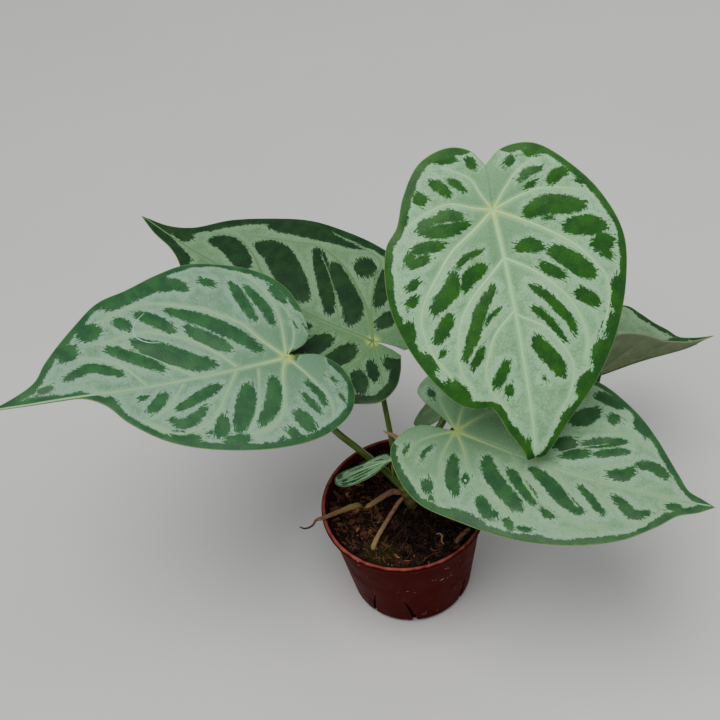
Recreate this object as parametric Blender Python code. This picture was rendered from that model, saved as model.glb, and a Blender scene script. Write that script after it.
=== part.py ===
"""A young silver-leaved anthurium in a round nursery pot.

The pot stands on z = 0 with its axis on Z. Sizes are written in millimetres and turned into metres by MM.
"""

import math

import bmesh
import bpy
import numpy as np
from mathutils import Vector

MM = 0.001

# Driving dimensions of the pot
RIM_RADIUS = 45.0
POT_HEIGHT = 68.0
BASE_RADIUS = 33.9
WALL = 1.0
FLOOR = 1.6
LIP_HEIGHT = 3.6
LIP_REACH = 2.7
SLITS = 8
SLIT_HEIGHT = 12.0
FIRST_SLIT_DEG = -47.0
POT_SIDES = 48

# Driving dimensions of the soil
SOIL_LEVEL = 62.4
SOIL_RISE_AT_WALL = 1.6
SOIL_LUMP = 1.1
SOIL_RINGS = 11
SOIL_SECTORS = 36
SOIL_SEED = 7

# Gaps between pieces that touch on the real plant
GAP = 0.3
HOLE_GAP = 0.4
SOIL_GAP = 0.6
SEAT_GAP = 0.45

# Thickness of a leaf blade, and of its midrib at the petiole
BLADE = 0.7
MIDRIB = 2.0
BLADE_ROWS = 24
BLADE_COLUMNS = 5

# Tubes have few sides: the petioles, roots and stem are slim
TUBE_RESOLUTION = 2
TUBE_STEPS = 4
STEM_RESOLUTION = 3

# One entry for each large leaf. The outline of each half blade starts at the notch behind the petiole and
# ends beside the tip. Its points are in the flat blade: x to the side of the midrib, y towards the tip.
LEAVES = {
    "front": {
        "junction": (59.4, 44.1, 227),
        "heading": -81, "rise": -43, "roll": 1,
        "length": 129, "half_width": 58.5,
        "arch": 13, "lobe_arch": 10, "droop": 150, "droop_from": 0.892,
        "fold": (6, 6), "fold_more": (0, 0), "cup": (14, 14), "sway": 6.6, "tip": 0,
        "right": ((-1.6, -21.2), (3, -30), (13.5, -34), (29, -29.8), (40.3, -16.5), (47, -3), (54, 5),
                  (58.8, 24.3), (57.8, 44.2), (49, 69), (35.5, 88.4), (26, 93.2), (19.2, 94), (12.3, 107.5),
                  (8, 114.7), (5.6, 119), (4.6, 123), (2.6, 127)),
        "left": ((-4, -23), (-11.7, -27.8), (-27.2, -26.6), (-43.2, -12), (-54, 4), (-60.3, 24.3),
                 (-57.3, 44.2), (-48, 68), (-32.7, 90.2), (-17, 107), (-9.6, 116), (-6.6, 119.5),
                 (-4.8, 123), (-2.6, 127)),
    },
    "left": {
        "junction": (-50, 30, 163),
        "heading": 198, "rise": 10, "roll": -15,
        "length": 147, "half_width": 58,
        "arch": -4, "lobe_arch": 10, "droop": 16, "droop_from": 0.7,
        "fold": (6, 6), "fold_more": (0, 0), "cup": (14, 14), "sway": 8.5, "tip": -3,
        "right": ((0.8, -5.7), (2.9, -11.4), (5.1, -14.1), (8.8, -16.3), (16.6, -17.2), (27, -17), (39, -14.5),
                  (50, -7), (61, 9), (67.5, 29), (63.5, 51), (56, 70), (50, 86), (37, 101), (18, 118), (9, 124),
                  (3, 133)),
        "left": ((-2.2, -5), (-3, -11.5), (-5.1, -17), (-12, -23), (-18.4, -25.6), (-30, -26), (-41, -20),
                 (-49, -4), (-50, 20), (-43.5, 48), (-33.5, 71), (-21, 85), (-10, 93), (-4.5, 102), (-3, 113),
                 (-3.5, 128)),
    },
    "back": {
        "junction": (-4.8, 54.9, 137.6),
        "heading": 146, "rise": 7, "roll": -2,
        "length": 167, "half_width": 61,
        "arch": 4, "lobe_arch": 10, "droop": 9, "droop_from": 0.7,
        "fold": (6, 6), "fold_more": (0, 0), "cup": (14, 14), "sway": 17, "tip": 0,
        "right": ((2.5, -17.5), (12, -25.5), (26.5, -27.5), (43, -18.5), (54, 0), (61, 25.5), (62.5, 51),
                  (58, 76.5), (46, 99), (28.5, 119.5), (12, 133.5), (4, 147)),
        "left": ((-1.5, -17.5), (-12, -22.5), (-22.5, -25), (-34, -22), (-41, -11), (-45, 8), (-48, 33),
                 (-46, 67), (-33.5, 97), (-15, 117), (-8, 131.5), (-5, 149)),
    },
    "right": {
        "junction": (30.3, -3.4, 124.6),
        "heading": 324, "rise": -1, "roll": 5,
        "length": 133, "half_width": 52,
        "arch": -3, "lobe_arch": 10, "droop": 7, "droop_from": 0.7,
        "fold": (6, 6), "fold_more": (0, 0), "cup": (14, 14), "sway": -6, "tip": -4.5,
        "right": ((4, -19), (12, -24.3), (24, -24.8), (35.5, -15.5), (45.5, 2), (47, 25), (45.5, 50),
                  (39, 76), (27.5, 98), (15, 111), (6, 118), (1, 126)),
        "left": ((-9.5, -24), (-14, -30), (-24, -29.8), (-37.5, -20), (-49.5, 0), (-57.5, 27), (-58.5, 54),
                 (-48.5, 76), (-32.5, 96), (-16, 112), (-9, 119), (-6.5, 127)),
    },
    "shaded": {
        "junction": (40.7, 41.8, 86),
        "heading": 8.3, "rise": 2.4, "roll": -5,
        "length": 149, "half_width": 45,
        "arch": 5, "lobe_arch": 10, "droop": -8, "droop_from": 0.8,
        "fold": (8, 8), "fold_more": (69, 7), "cup": (10, 10), "sway": -6.6, "tip": 0,
        "right": ((5, -5), (11, -12), (16, -18), (23, -21.5), (32, -17.5), (37, -6), (39.5, 12), (40, 30),
                  (39.5, 50), (39, 69), (38, 85), (31, 97.5), (20.5, 108.5), (14.8, 114), (9.8, 122.5),
                  (4.8, 133.5)),
        "left": ((-0.4, -13), (2, -18.8), (2.6, -25.5), (-1.5, -29.5), (-8, -25), (-11.8, -20.6), (-17, -15),
                 (-28, -8), (-38, 5), (-43, 25), (-46, 50), (-46.5, 75), (-44, 98), (-38.7, 113.7),
                 (-30.8, 118.2), (-21, 122.5), (-13.8, 127), (-7.6, 130.5), (-3.5, 138.5)),
    },
}

# The part of a folded blade's length over which it folds up
FOLD_FROM, FOLD_TO = 0.30, 0.56

# The newest leaf is small, narrow and has no lobes yet
YOUNG_LEAF = {
    "junction": (-3.4, 7.9, 94.5),
    "heading": 191, "rise": 3, "roll": -6,
    "length": 33.5, "half_width": 6,
    "arch": 26, "lobe_arch": 0, "droop": 8, "droop_from": 0.6,
    "fold": (20, 20), "fold_more": (0, 0), "cup": (10, 10), "sway": 0, "tip": 0,
    "right": ((2, 0.3), (3.8, 1.6), (4.4, 3.6), (4, 9), (3.1, 16), (3.2, 22.5), (3.4, 27.6), (2.6, 31.4)),
    "left": ((-0.9, 0.9), (-3, 5.2), (-5.5, 9.4), (-7.1, 13.1), (-7.8, 18.2), (-7.8, 22.7), (-6.9, 27),
             (-4.2, 30.8)),
}

# The short trunk, from below the soil to the crown, then its radii
STEM_ROUTE = ((5.5, -1.0, 50), (4.2, 0.8, 62), (1.8, 4.2, 73), (0.4, 6.6, 81))
STEM_RADII = (3.3, 3.5, 3.3, 2.6)

# Petioles: each leaves the stem and ends under its blade. The last stretch is worked out from the blade.
PETIOLES = {
    "front": ((1.0, 5.6, 77), (8.5, 12.5, 82), (18, 24.5, 86), (27, 33.5, 90), (31.5, 45, 99), (35, 54, 115),
              (40.5, 57.5, 139), (49.5, 58, 176), (55.5, 52.5, 206)),
    "left": ((1.9, 4.2, 72), (-3.8, 9.8, 75), (-8.6, 14, 80), (-14, 13.6, 89.5), (-22, 13.2, 103.5),
             (-30.5, 13, 118), (-42, 18, 139)),
    "back": ((-0.6, 7.4, 77.5), (-1.9, 12.2, 86), (-2.4, 16, 102.6), (-3.6, 29, 118), (-4.4, 42, 128)),
    "right": ((1.6, 4.4, 71), (7, -0.5, 79), (14, -4, 96), (23.5, -6.5, 114)),
    "shaded": ((3.4, 2.2, 66.5), (9, 8, 71), (20, 20, 77), (32, 33, 80.5)),
}
PETIOLE_RADII = {"front": 2.0, "left": 1.85, "back": 1.45, "right": 1.8, "shaded": 1.7}
YOUNG_PETIOLE = ((-0.6, 4.0, 77.5), (-3.8, 4.6, 84), (-3.9, 6.6, 90))
YOUNG_PETIOLE_RADIUS = 0.8

# The pointed sheath that once wrapped a leaf bud
SHEATH_ROUTE = ((1.2, 6.0, 79.5), (3.0, 7.6, 88), (2.4, 10.0, 99), (0.2, 12.2, 107), (-6.0, 13.7, 112))
SHEATH_RADII = (1.2, 1.3, 1.6, 1.4, 0.35)

# Aerial roots: the route of each, then its radii
ROOTS = {
    "root_left": (((-0.5, 5.5, 68), (-5.5, 8, 66.6), (-12.7, 5.6, 65.2), (-20.9, 2.2, 62.6), (-25, 0.2, 57)),
                  (1.5, 1.7, 1.6, 1.4, 1.0)),
    "root_front": (((2.2, 2.4, 67.5), (-0.8, 1.8, 67.4), (-10, -9, 65.4), (-19, -23, 64.2), (-20.6, -25.5, 58)),
                   (1.2, 1.3, 1.3, 1.7, 1.5)),
    "root_over_rim": (((-22, 7.4, 57), (-26.3, 4.0, 64), (-35.2, -0.4, 66.8), (-44.2, -5.3, 69.8),
                       (-47.8, -4.9, 68.4), (-50.9, -5.6, 64.6), (-55, -5.4, 62.8), (-57.6, -3.6, 62.6)),
                      (1.5, 1.8, 1.4, 1.1, 0.8, 0.6, 0.5, 0.3)),
    "root_right": (((31.4, -20.4, 57), (31.6, -22.2, 64.4), (25.4, -27.6, 65.2), (21.4, -30.4, 58)),
                   (0.9, 1.3, 1.2, 0.8)),
}

# Colour, roughness and metallic value of each finish
FINISHES = {
    "terracotta plastic": ((0.30, 0.085, 0.055), 0.5, 0.0),
    "potting mix": ((0.045, 0.026, 0.017), 0.95, 0.0),
    "stem": ((0.13, 0.16, 0.035), 0.5, 0.0),
    "petiole": ((0.11, 0.22, 0.035), 0.4, 0.0),
    "silver green leaf": ((0.33, 0.45, 0.33), 0.4, 0.0),
    "dark green leaf": ((0.06, 0.16, 0.07), 0.4, 0.0),
    "dry sheath": ((0.42, 0.30, 0.16), 0.7, 0.0),
    "aerial root": ((0.24, 0.15, 0.085), 0.8, 0.0),
}


def clear_scene():
    for obj in list(bpy.data.objects):
        bpy.data.objects.remove(obj, do_unlink=True)


def finish(name):
    """The material of that name, made when it is first asked for."""
    material = bpy.data.materials.get(name)
    if material is None:
        colour, roughness, metallic = FINISHES[name]
        material = bpy.data.materials.new(name)
        material.use_nodes = True
        shader = material.node_tree.nodes["Principled BSDF"]
        shader.inputs["Base Color"].default_value = (*colour, 1.0)
        shader.inputs["Roughness"].default_value = roughness
        shader.inputs["Metallic"].default_value = metallic
    return material


def add_object(name, mesh, material, smooth_deg=40):
    obj = bpy.data.objects.new(name, mesh)
    bpy.context.scene.collection.objects.link(obj)
    mesh.materials.clear()
    mesh.materials.append(finish(material))
    mesh.shade_smooth()
    mesh.set_sharp_from_angle(angle=math.radians(smooth_deg))
    return obj


def apply_modifiers(obj):
    """The object's mesh as its modifiers leave it."""
    graph = bpy.context.evaluated_depsgraph_get()
    mesh = bpy.data.meshes.new_from_object(obj.evaluated_get(graph))
    obj.modifiers.clear()
    obj.data = mesh


def cut(obj, cutter):
    """Takes the cutter's volume away from the object, then hides the cutter from the build."""
    cutter.hide_render = True
    cutter.display_type = "WIRE"
    boolean = obj.modifiers.new("cut " + cutter.name, "BOOLEAN")
    boolean.operation = "DIFFERENCE"
    boolean.solver = "EXACT"
    boolean.object = cutter


def smooth_curve(points, steps):
    """Points along a centripetal Catmull-Rom curve, with that many steps to each span."""
    p = np.asarray(points, float)
    p = np.vstack([2 * p[0] - p[1], p, 2 * p[-1] - p[-2]])
    gap = np.sqrt(np.linalg.norm(np.diff(p, axis=0), axis=1))
    curve = []
    for i in range(1, len(p) - 2):
        before, start, end, after = p[i - 1:i + 3]
        a, b, c = gap[i - 1:i + 2]
        leave = end - start + b * ((start - before) / a - (end - before) / (a + b))
        arrive = end - start + b * ((after - end) / c - (after - start) / (b + c))
        for t in np.linspace(0, 1, steps, endpoint=False):
            curve.append(start + t * leave + t * t * (3 * (end - start) - 2 * leave - arrive)
                         + t ** 3 * (leave + arrive - 2 * (end - start)))
    curve.append(p[-2])
    return np.array(curve)


def turned(profile, sides):
    """A mesh spun round Z from points (radius, height) in mm."""
    bm = bmesh.new()
    ring = [bm.verts.new((r * MM, 0, z * MM)) for r, z in profile]
    edges = [bm.edges.new(pair) for pair in zip(ring, ring[1:])]
    bmesh.ops.spin(bm, geom=ring + edges, cent=(0, 0, 0), axis=(0, 0, 1), angle=2 * math.pi, steps=sides,
                   use_merge=True)
    bmesh.ops.remove_doubles(bm, verts=bm.verts, dist=0.001 * MM)
    bmesh.ops.recalc_face_normals(bm, faces=bm.faces)
    mesh = bpy.data.meshes.new("turned")
    bm.to_mesh(mesh)
    bm.free()
    return mesh


def tube(name, route, radii, material, steps=TUBE_STEPS, resolution=TUBE_RESOLUTION):
    """A round tube along a smooth curve through the route, its radius given at each point of the route."""
    path = smooth_curve([(*place, radius) for place, radius in zip(route, radii)], steps)
    curve = bpy.data.curves.new(name + " curve", "CURVE")
    curve.dimensions = "3D"
    curve.bevel_depth = MM
    curve.bevel_resolution = resolution
    curve.use_fill_caps = True
    spline = curve.splines.new("POLY")
    spline.points.add(len(path) - 1)
    for point, (x, y, z, radius) in zip(spline.points, path):
        point.co = (x * MM, y * MM, z * MM, 1.0)
        point.radius = radius
    guide = bpy.data.objects.new(name + " guide", curve)
    bpy.context.scene.collection.objects.link(guide)
    graph = bpy.context.evaluated_depsgraph_get()
    mesh = bpy.data.meshes.new_from_object(guide.evaluated_get(graph))
    bpy.data.objects.remove(guide, do_unlink=True)
    bm = bmesh.new()
    bm.from_mesh(mesh)
    bmesh.ops.remove_doubles(bm, verts=bm.verts, dist=0.001 * MM)
    bmesh.ops.recalc_face_normals(bm, faces=bm.faces)
    bm.to_mesh(mesh)
    bm.free()
    return add_object(name, mesh, material)


def cutter_tube(name, route, radii, margin):
    """A copy of a tube, fatter and longer by the margin, to cut the hole or seat that it fits."""
    ends = []
    for end, inner in ((route[0], route[1]), (route[-1], route[-2])):
        outwards = Vector(end) - Vector(inner)
        ends.append(tuple(Vector(end) + outwards.normalized() * margin))
    return tube(name, [ends[0], *route[1:-1], ends[1]], [r + margin for r in radii], "stem")


# The pot: a thin turned wall with a rolled lip, and slits for drainage cut across its lower edge

def wall_radius(z):
    """Outer radius of the tapering wall at a height."""
    top = RIM_RADIUS - LIP_REACH
    lower = 5.0
    share = (z - lower) / (POT_HEIGHT - LIP_HEIGHT - lower)
    return BASE_RADIUS + (top - BASE_RADIUS) * share


def make_pot():
    lip_foot = POT_HEIGHT - LIP_HEIGHT
    r = RIM_RADIUS
    outside = ((0, 0), (BASE_RADIUS - 4.4, 0), (BASE_RADIUS - 2.2, 0.5), (BASE_RADIUS - 0.8, 2.2),
               (BASE_RADIUS, 5.0), (wall_radius(lip_foot), lip_foot), (r - 0.5, lip_foot + 0.3),
               (r, lip_foot + 1.1), (r, POT_HEIGHT - 0.8), (r - 0.6, POT_HEIGHT))
    inside = ((r - 1.6, POT_HEIGHT), (r - 2.3, POT_HEIGHT - 0.6), (r - 3.0, POT_HEIGHT - 2.6),
              (wall_radius(61.0) - WALL, 61.0), (BASE_RADIUS - WALL, 5.4), (BASE_RADIUS - 2.0, 3.0),
              (BASE_RADIUS - 4.0, FLOOR), (0, FLOOR))
    pot = add_object("pot", turned(outside + inside, POT_SIDES), "terracotta plastic", 50)
    for i in range(SLITS):
        cut(pot, slit_cutter(FIRST_SLIT_DEG + 360.0 * i / SLITS, i))
    return pot


def slit_cutter(angle_deg, number):
    """A wedge, widest at the foot, that opens one drainage slit."""
    foot_half, top_half = 1.1, 0.5
    inner, outer = BASE_RADIUS - 3.4, BASE_RADIUS + 6
    bm = bmesh.new()
    corners = []
    for x in (inner, outer):
        for y, z in ((-foot_half, -1.0), (foot_half, -1.0), (top_half, SLIT_HEIGHT), (-top_half, SLIT_HEIGHT)):
            corners.append(bm.verts.new((x * MM, y * MM, z * MM)))
    bm.faces.new(corners[3::-1])
    bm.faces.new(corners[4:])
    for i in range(4):
        j = (i + 1) % 4
        bm.faces.new((corners[i], corners[j], corners[4 + j], corners[4 + i]))
    bmesh.ops.recalc_face_normals(bm, faces=bm.faces)
    mesh = bpy.data.meshes.new("slit cutter")
    bm.to_mesh(mesh)
    bm.free()
    cutter = add_object(f"slit_cutter_{number}", mesh, "terracotta plastic")
    cutter.rotation_euler.z = math.radians(angle_deg)
    return cutter


# The soil: a coarse mix that fills the pot, with a lumpy top and a plain hole for whatever stands in it

def soil_height(x, y, lumps):
    """Height of the soil's surface at a place, in mm."""
    out = math.hypot(x, y) / (wall_radius(SOIL_LEVEL) - WALL)
    height = SOIL_LEVEL + SOIL_RISE_AT_WALL * out ** 4
    for cx, cy, spread, lift in lumps:
        height += lift * math.exp(-((x - cx) ** 2 + (y - cy) ** 2) / (2 * spread ** 2))
    return height


def make_soil():
    rng = np.random.default_rng(SOIL_SEED)
    lumps = [(*rng.uniform(-40, 40, 2), rng.uniform(2.0, 4.5), rng.uniform(-1, 1) * SOIL_LUMP) for _ in range(90)]
    bm = bmesh.new()
    top_radius = wall_radius(SOIL_LEVEL + SOIL_RISE_AT_WALL) - WALL - SOIL_GAP
    lower_z = FLOOR + GAP
    rings = []
    for ring in range(1, SOIL_RINGS + 1):
        r = top_radius * ring / SOIL_RINGS
        rings.append([])
        for sector in range(SOIL_SECTORS):
            a = 2 * math.pi * (sector + 0.5 * (ring % 2)) / SOIL_SECTORS
            x, y = r * math.cos(a), r * math.sin(a)
            rings[-1].append(bm.verts.new((x * MM, y * MM, soil_height(x, y, lumps) * MM)))
    heel = wall_radius(6.0) - WALL - SOIL_GAP
    for r, z in ((heel, 6.0), (BASE_RADIUS - 2.6, 3.6), (BASE_RADIUS - 4.6, lower_z)):
        shift = 0.5 * (SOIL_RINGS % 2)
        rings.append([])
        for sector in range(SOIL_SECTORS):
            a = 2 * math.pi * (sector + shift) / SOIL_SECTORS
            rings[-1].append(bm.verts.new((r * math.cos(a) * MM, r * math.sin(a) * MM, z * MM)))
    middle = bm.verts.new((0, 0, soil_height(0, 0, lumps) * MM))
    for i in range(SOIL_SECTORS):
        j = (i + 1) % SOIL_SECTORS
        bm.faces.new((middle, rings[0][i], rings[0][j]))
        for n, (inner, outer) in enumerate(zip(rings, rings[1:])):
            if n + 1 < SOIL_RINGS and n % 2 == 0:
                bm.faces.new((inner[i], outer[i], outer[j]))
                bm.faces.new((inner[i], outer[j], inner[j]))
            elif n + 1 < SOIL_RINGS:
                bm.faces.new((inner[i], outer[i], inner[j]))
                bm.faces.new((inner[j], outer[i], outer[j]))
            else:
                bm.faces.new((inner[i], outer[i], outer[j], inner[j]))
    bm.faces.new(rings[-1][::-1])
    bmesh.ops.recalc_face_normals(bm, faces=bm.faces)
    mesh = bpy.data.meshes.new("soil")
    bm.to_mesh(mesh)
    bm.free()
    soil = add_object("potting_mix", mesh, "potting mix", 80)
    cut(soil, cutter_tube("stem_hole", STEM_ROUTE, STEM_RADII, HOLE_GAP))
    for name, (route, radii) in ROOTS.items():
        cut(soil, cutter_tube(name + "_hole", route, radii, HOLE_GAP))
    return soil


# Leaf blades: a flat heart-shaped outline, filled with rows that follow the veins, then bent into place

def leaf_axes(leaf):
    """Unit vectors at the petiole: towards the tip, to the blade's right, and out of its upper face."""
    heading, rise, roll = (math.radians(leaf[k]) for k in ("heading", "rise", "roll"))
    tipwards = np.array([math.cos(rise) * math.cos(heading), math.cos(rise) * math.sin(heading), math.sin(rise)])
    level = np.array([math.sin(heading), -math.cos(heading), 0.0])
    up = np.cross(level, tipwards)
    right = math.cos(roll) * level - math.sin(roll) * up
    return tipwards, right, math.sin(roll) * level + math.cos(roll) * up


def bend_blade(leaf, flat):
    """Carries flat blade points (x, y) to where the arched, folded and cupped blade holds them."""
    tipwards, right, up = leaf_axes(leaf)
    x, y = flat[..., 0], flat[..., 1]
    stations = np.linspace(-60, leaf["length"] + 5, 300)
    share = stations / leaf["length"]
    droop = np.clip((share - leaf["droop_from"]) / (1 - leaf["droop_from"]), 0, 2) ** 2
    bend = np.radians(np.where(share >= 0, leaf["arch"], leaf["lobe_arch"]) * share + leaf["droop"] * droop)
    sway = np.radians(leaf["sway"] * np.clip(share, 0, 2))

    def travelled(slope):
        total = np.concatenate([[0], np.cumsum((slope[1:] + slope[:-1]) / 2 * np.diff(stations))])
        return np.interp(y, stations, total - np.interp(0, stations, total))[..., None]

    spine = (np.array(leaf["junction"]) + travelled(np.cos(bend) * np.cos(sway)) * tipwards
             - travelled(np.sin(bend)) * up + travelled(np.cos(bend) * np.sin(sway)) * right)
    bend_here = np.interp(y, stations, bend)[..., None]
    sway_here = np.interp(y, stations, sway)[..., None]
    tipwards_here = np.cos(bend_here) * tipwards - np.sin(bend_here) * up
    up_here = np.sin(bend_here) * tipwards + np.cos(bend_here) * up
    right_here = np.cos(sway_here) * right - np.sin(sway_here) * tipwards_here

    side = (x < 0).astype(int)
    folding = np.clip((y / leaf["length"] - FOLD_FROM) / (FOLD_TO - FOLD_FROM), 0, 1)
    folding = folding * folding * (3 - 2 * folding)
    fold = np.array(leaf["fold"])[side] + np.array(leaf["fold_more"])[side] * folding
    cup = np.array(leaf["cup"])[side] * np.abs(x) / leaf["half_width"]
    across, lift = np.zeros_like(x), np.zeros_like(x)
    steps = 12
    for step in range(steps):
        slope = np.radians(fold - cup * (step + 0.5) / steps)
        across += np.cos(slope) / steps
        lift += np.sin(slope) / steps
    return spine + (across * x)[..., None] * right_here + (lift * np.abs(x))[..., None] * up_here


def half_blade(leaf, side, rows, columns):
    """Flat points of one half blade: each row runs from the petiole or the midrib out to the margin."""
    sign = 1 if side == "right" else -1
    outline = smooth_curve(list(leaf[side]) + [(leaf["tip"], leaf["length"])], 12)
    run = np.concatenate([[0], np.cumsum(np.linalg.norm(np.diff(outline, axis=0), axis=1))])
    share = np.linspace(0, 1, rows + 1)
    margin = np.stack([np.interp(share, run / run[-1], outline[:, i]) for i in (0, 1)], axis=-1)
    climb = np.clip(2 * share - 1, 0, 1) ** 1.5
    root_y = climb * leaf["length"]
    root = np.stack([leaf["tip"] * np.clip((climb - 0.7) / 0.3, 0, 1) ** 1.5, root_y], axis=-1)
    reach = margin - root
    bow = np.where(climb > 0, 1.0, 0.3)
    middle = root + np.stack([0.55 * reach[:, 0] + 0.16 * sign * bow * reach[:, 1],
                              0.45 * reach[:, 1] - 0.10 * bow * np.abs(reach[:, 0])], axis=-1)
    s = np.linspace(0, 1, columns + 1)[None, :, None]
    return (1 - s) ** 2 * root[:, None] + 2 * s * (1 - s) * middle[:, None] + s ** 2 * margin[:, None]


def make_blade(name, leaf, material, rows=BLADE_ROWS, columns=BLADE_COLUMNS, blade=BLADE, midrib=MIDRIB):
    bm = bmesh.new()
    rib = bm.verts.layers.deform.verify()
    for side in ("right", "left"):
        flat = half_blade(leaf, side, rows, columns)
        places = bend_blade(leaf, flat)
        grid = []
        for row, (flat_row, row_places) in enumerate(zip(flat, places)):
            grid.append([])
            for column, place in enumerate(row_places):
                vert = bm.verts.new(place * MM)
                taper = 1 - max(0.0, flat_row[column][1]) / leaf["length"]
                vert[rib][0] = taper if column == 0 else 0.0
                grid[-1].append(vert)
        for near, far in zip(grid, grid[1:]):
            for column in range(columns):
                quad = (near[column], near[column + 1], far[column + 1], far[column])
                if side == "left":
                    quad = quad[::-1]
                for corners in ((quad[0], quad[1], quad[2]), (quad[0], quad[2], quad[3])):
                    bm.faces.new(corners)
    bmesh.ops.remove_doubles(bm, verts=bm.verts, dist=0.01 * MM)
    bmesh.ops.dissolve_degenerate(bm, edges=bm.edges, dist=0.01 * MM)
    mesh = bpy.data.meshes.new(name)
    bm.to_mesh(mesh)
    bm.free()
    obj = add_object(name, mesh, material)
    obj.vertex_groups.new(name="midrib")
    wall = obj.modifiers.new("blade thickness", "SOLIDIFY")
    wall.thickness = midrib * MM
    wall.offset = -1
    wall.vertex_group = "midrib"
    wall.thickness_vertex_group = blade / midrib
    return obj


# Stem, petioles and roots: round tubes, each cut back from the stem that it grows out of

def petiole_route(leaf, route, rib):
    """The route with its last stretch added: it turns to meet the blade's underside squarely."""
    up = leaf_axes(leaf)[2]
    foot = np.array(leaf["junction"]) - (rib + GAP + 0.15) * up
    return list(route) + [tuple(foot - 2.5 * up), tuple(foot)]


def make_petiole(name, route, radius, stem_seat, foot_swell=1.25):
    radii = [radius * 1.3] + [radius] * (len(route) - 3) + [radius * foot_swell, radius * 1.1]
    petiole = tube(name, route, radii, "petiole")
    cut(petiole, stem_seat)
    return petiole


def make_plant():
    tube("stem", STEM_ROUTE, STEM_RADII, "stem", resolution=STEM_RESOLUTION)
    stem_seat = cutter_tube("stem_seat", STEM_ROUTE, STEM_RADII, SEAT_GAP)
    for place, leaf in LEAVES.items():
        colour = "dark green leaf" if place in ("back", "shaded") else "silver green leaf"
        make_blade("blade_" + place, leaf, colour)
        route = petiole_route(leaf, PETIOLES[place], MIDRIB)
        make_petiole("petiole_" + place, route, PETIOLE_RADII[place], stem_seat)
    make_blade("young_leaf", YOUNG_LEAF, "silver green leaf", rows=10, columns=3, midrib=0.9)
    route = petiole_route(YOUNG_LEAF, YOUNG_PETIOLE, 0.9)
    make_petiole("young_petiole", route, YOUNG_PETIOLE_RADIUS, stem_seat, 1.0)
    cut(tube("leaf_sheath", SHEATH_ROUTE, SHEATH_RADII, "dry sheath"), stem_seat)
    for name, (route, radii) in ROOTS.items():
        root = tube(name, route, radii, "aerial root")
        if name in ("root_left", "root_front"):
            cut(root, stem_seat)


clear_scene()
make_pot()
make_soil()
make_plant()
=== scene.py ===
"""The dressed look of a young silver-leaved anthurium in a round nursery pot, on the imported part's frame."""

import math

import bpy
import numpy as np
from mathutils import Matrix, Vector, noise
from mathutils.geometry import delaunay_2d_cdt


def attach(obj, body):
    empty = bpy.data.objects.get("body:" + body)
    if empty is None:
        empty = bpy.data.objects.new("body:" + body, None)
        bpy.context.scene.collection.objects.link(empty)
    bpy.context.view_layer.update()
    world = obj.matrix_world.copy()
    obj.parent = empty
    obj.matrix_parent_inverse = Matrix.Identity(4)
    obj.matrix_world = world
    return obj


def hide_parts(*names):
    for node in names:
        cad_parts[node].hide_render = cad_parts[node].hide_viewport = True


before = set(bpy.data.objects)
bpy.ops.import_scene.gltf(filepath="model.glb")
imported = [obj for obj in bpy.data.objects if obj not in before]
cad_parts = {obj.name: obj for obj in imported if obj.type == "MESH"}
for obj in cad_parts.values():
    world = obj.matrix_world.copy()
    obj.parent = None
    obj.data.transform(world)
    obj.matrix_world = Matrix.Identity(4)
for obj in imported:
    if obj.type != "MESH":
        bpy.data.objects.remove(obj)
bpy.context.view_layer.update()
MM = 0.001
scene = bpy.context.scene

# The view: the photographer stands over the plant, with the pot 0.75 m away and the camera tipped a little to
# one side. The floor is plain and pale. One wide soft lamp hangs over the plant, a weaker one stands at its side,
# and a pale room fills the rest.
CAMERA_PLACE = (-0.01305, -0.45125, 0.67067)
ABOVE_HORIZON_DEG = 47.2
ROLL_DEG = -7.9
LENS_MM, SENSOR_MM = 69.5, 36.0
ROOM_LIGHT = 0.36
camera_data = bpy.data.cameras.new("camera")
camera_data.lens = LENS_MM
camera_data.sensor_width = SENSOR_MM
camera = bpy.data.objects.new("camera", camera_data)
scene.collection.objects.link(camera)
tip_down = Matrix.Rotation(math.radians(90 - ABOVE_HORIZON_DEG), 4, "X")
roll = Matrix.Rotation(math.radians(ROLL_DEG), 4, "Z")
camera.matrix_world = Matrix.Translation(CAMERA_PLACE) @ tip_down @ roll
scene.camera = camera


def place_node(tree, kind, values=(), **settings):
    """Adds a shader node, sets its properties, and fills its inputs with plain values or links."""
    made = tree.nodes.new(kind)
    for key, value in settings.items():
        setattr(made, key, value)
    for key, value in dict(values).items():
        if isinstance(value, bpy.types.NodeSocket):
            tree.links.new(value, made.inputs[key])
        else:
            made.inputs[key].default_value = value
    return made


def new_material(name, **shader_values):
    """A node material whose surface starts from these plain numbers. Gives the material, its tree and its shader."""
    material = bpy.data.materials.new(name)
    material.use_nodes = True
    tree = material.node_tree
    shader = tree.nodes["Principled BSDF"]
    for key, value in shader_values.items():
        shader.inputs[key.replace("_", " ")].default_value = value
    return material, tree, shader


def mix_colours(tree, share, first, second, blend="MIX"):
    made = place_node(tree, "ShaderNodeMix", {0: share, 6: first, 7: second}, data_type="RGBA", blend_type=blend)
    return made.outputs[2]


def cloudy(tree, place, scale, detail=3.0, roughness=0.55):
    made = place_node(tree, "ShaderNodeTexNoise",
                      {"Vector": place, "Scale": scale, "Detail": detail, "Roughness": roughness})
    return made.outputs[0]


def object_place(tree):
    return place_node(tree, "ShaderNodeTexCoord").outputs["Object"]


def paint(tree, shader, colour, heights=None, strength=1.0, depth=0.0):
    """Leads a varying colour to the shader, and a relief that is as many metres deep, where heights are given."""
    tree.links.new(colour, shader.inputs["Base Color"])
    if heights is not None:
        relief = place_node(tree, "ShaderNodeBump", {"Strength": strength, "Distance": depth, "Height": heights})
        tree.links.new(relief.outputs[0], shader.inputs["Normal"])


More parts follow.
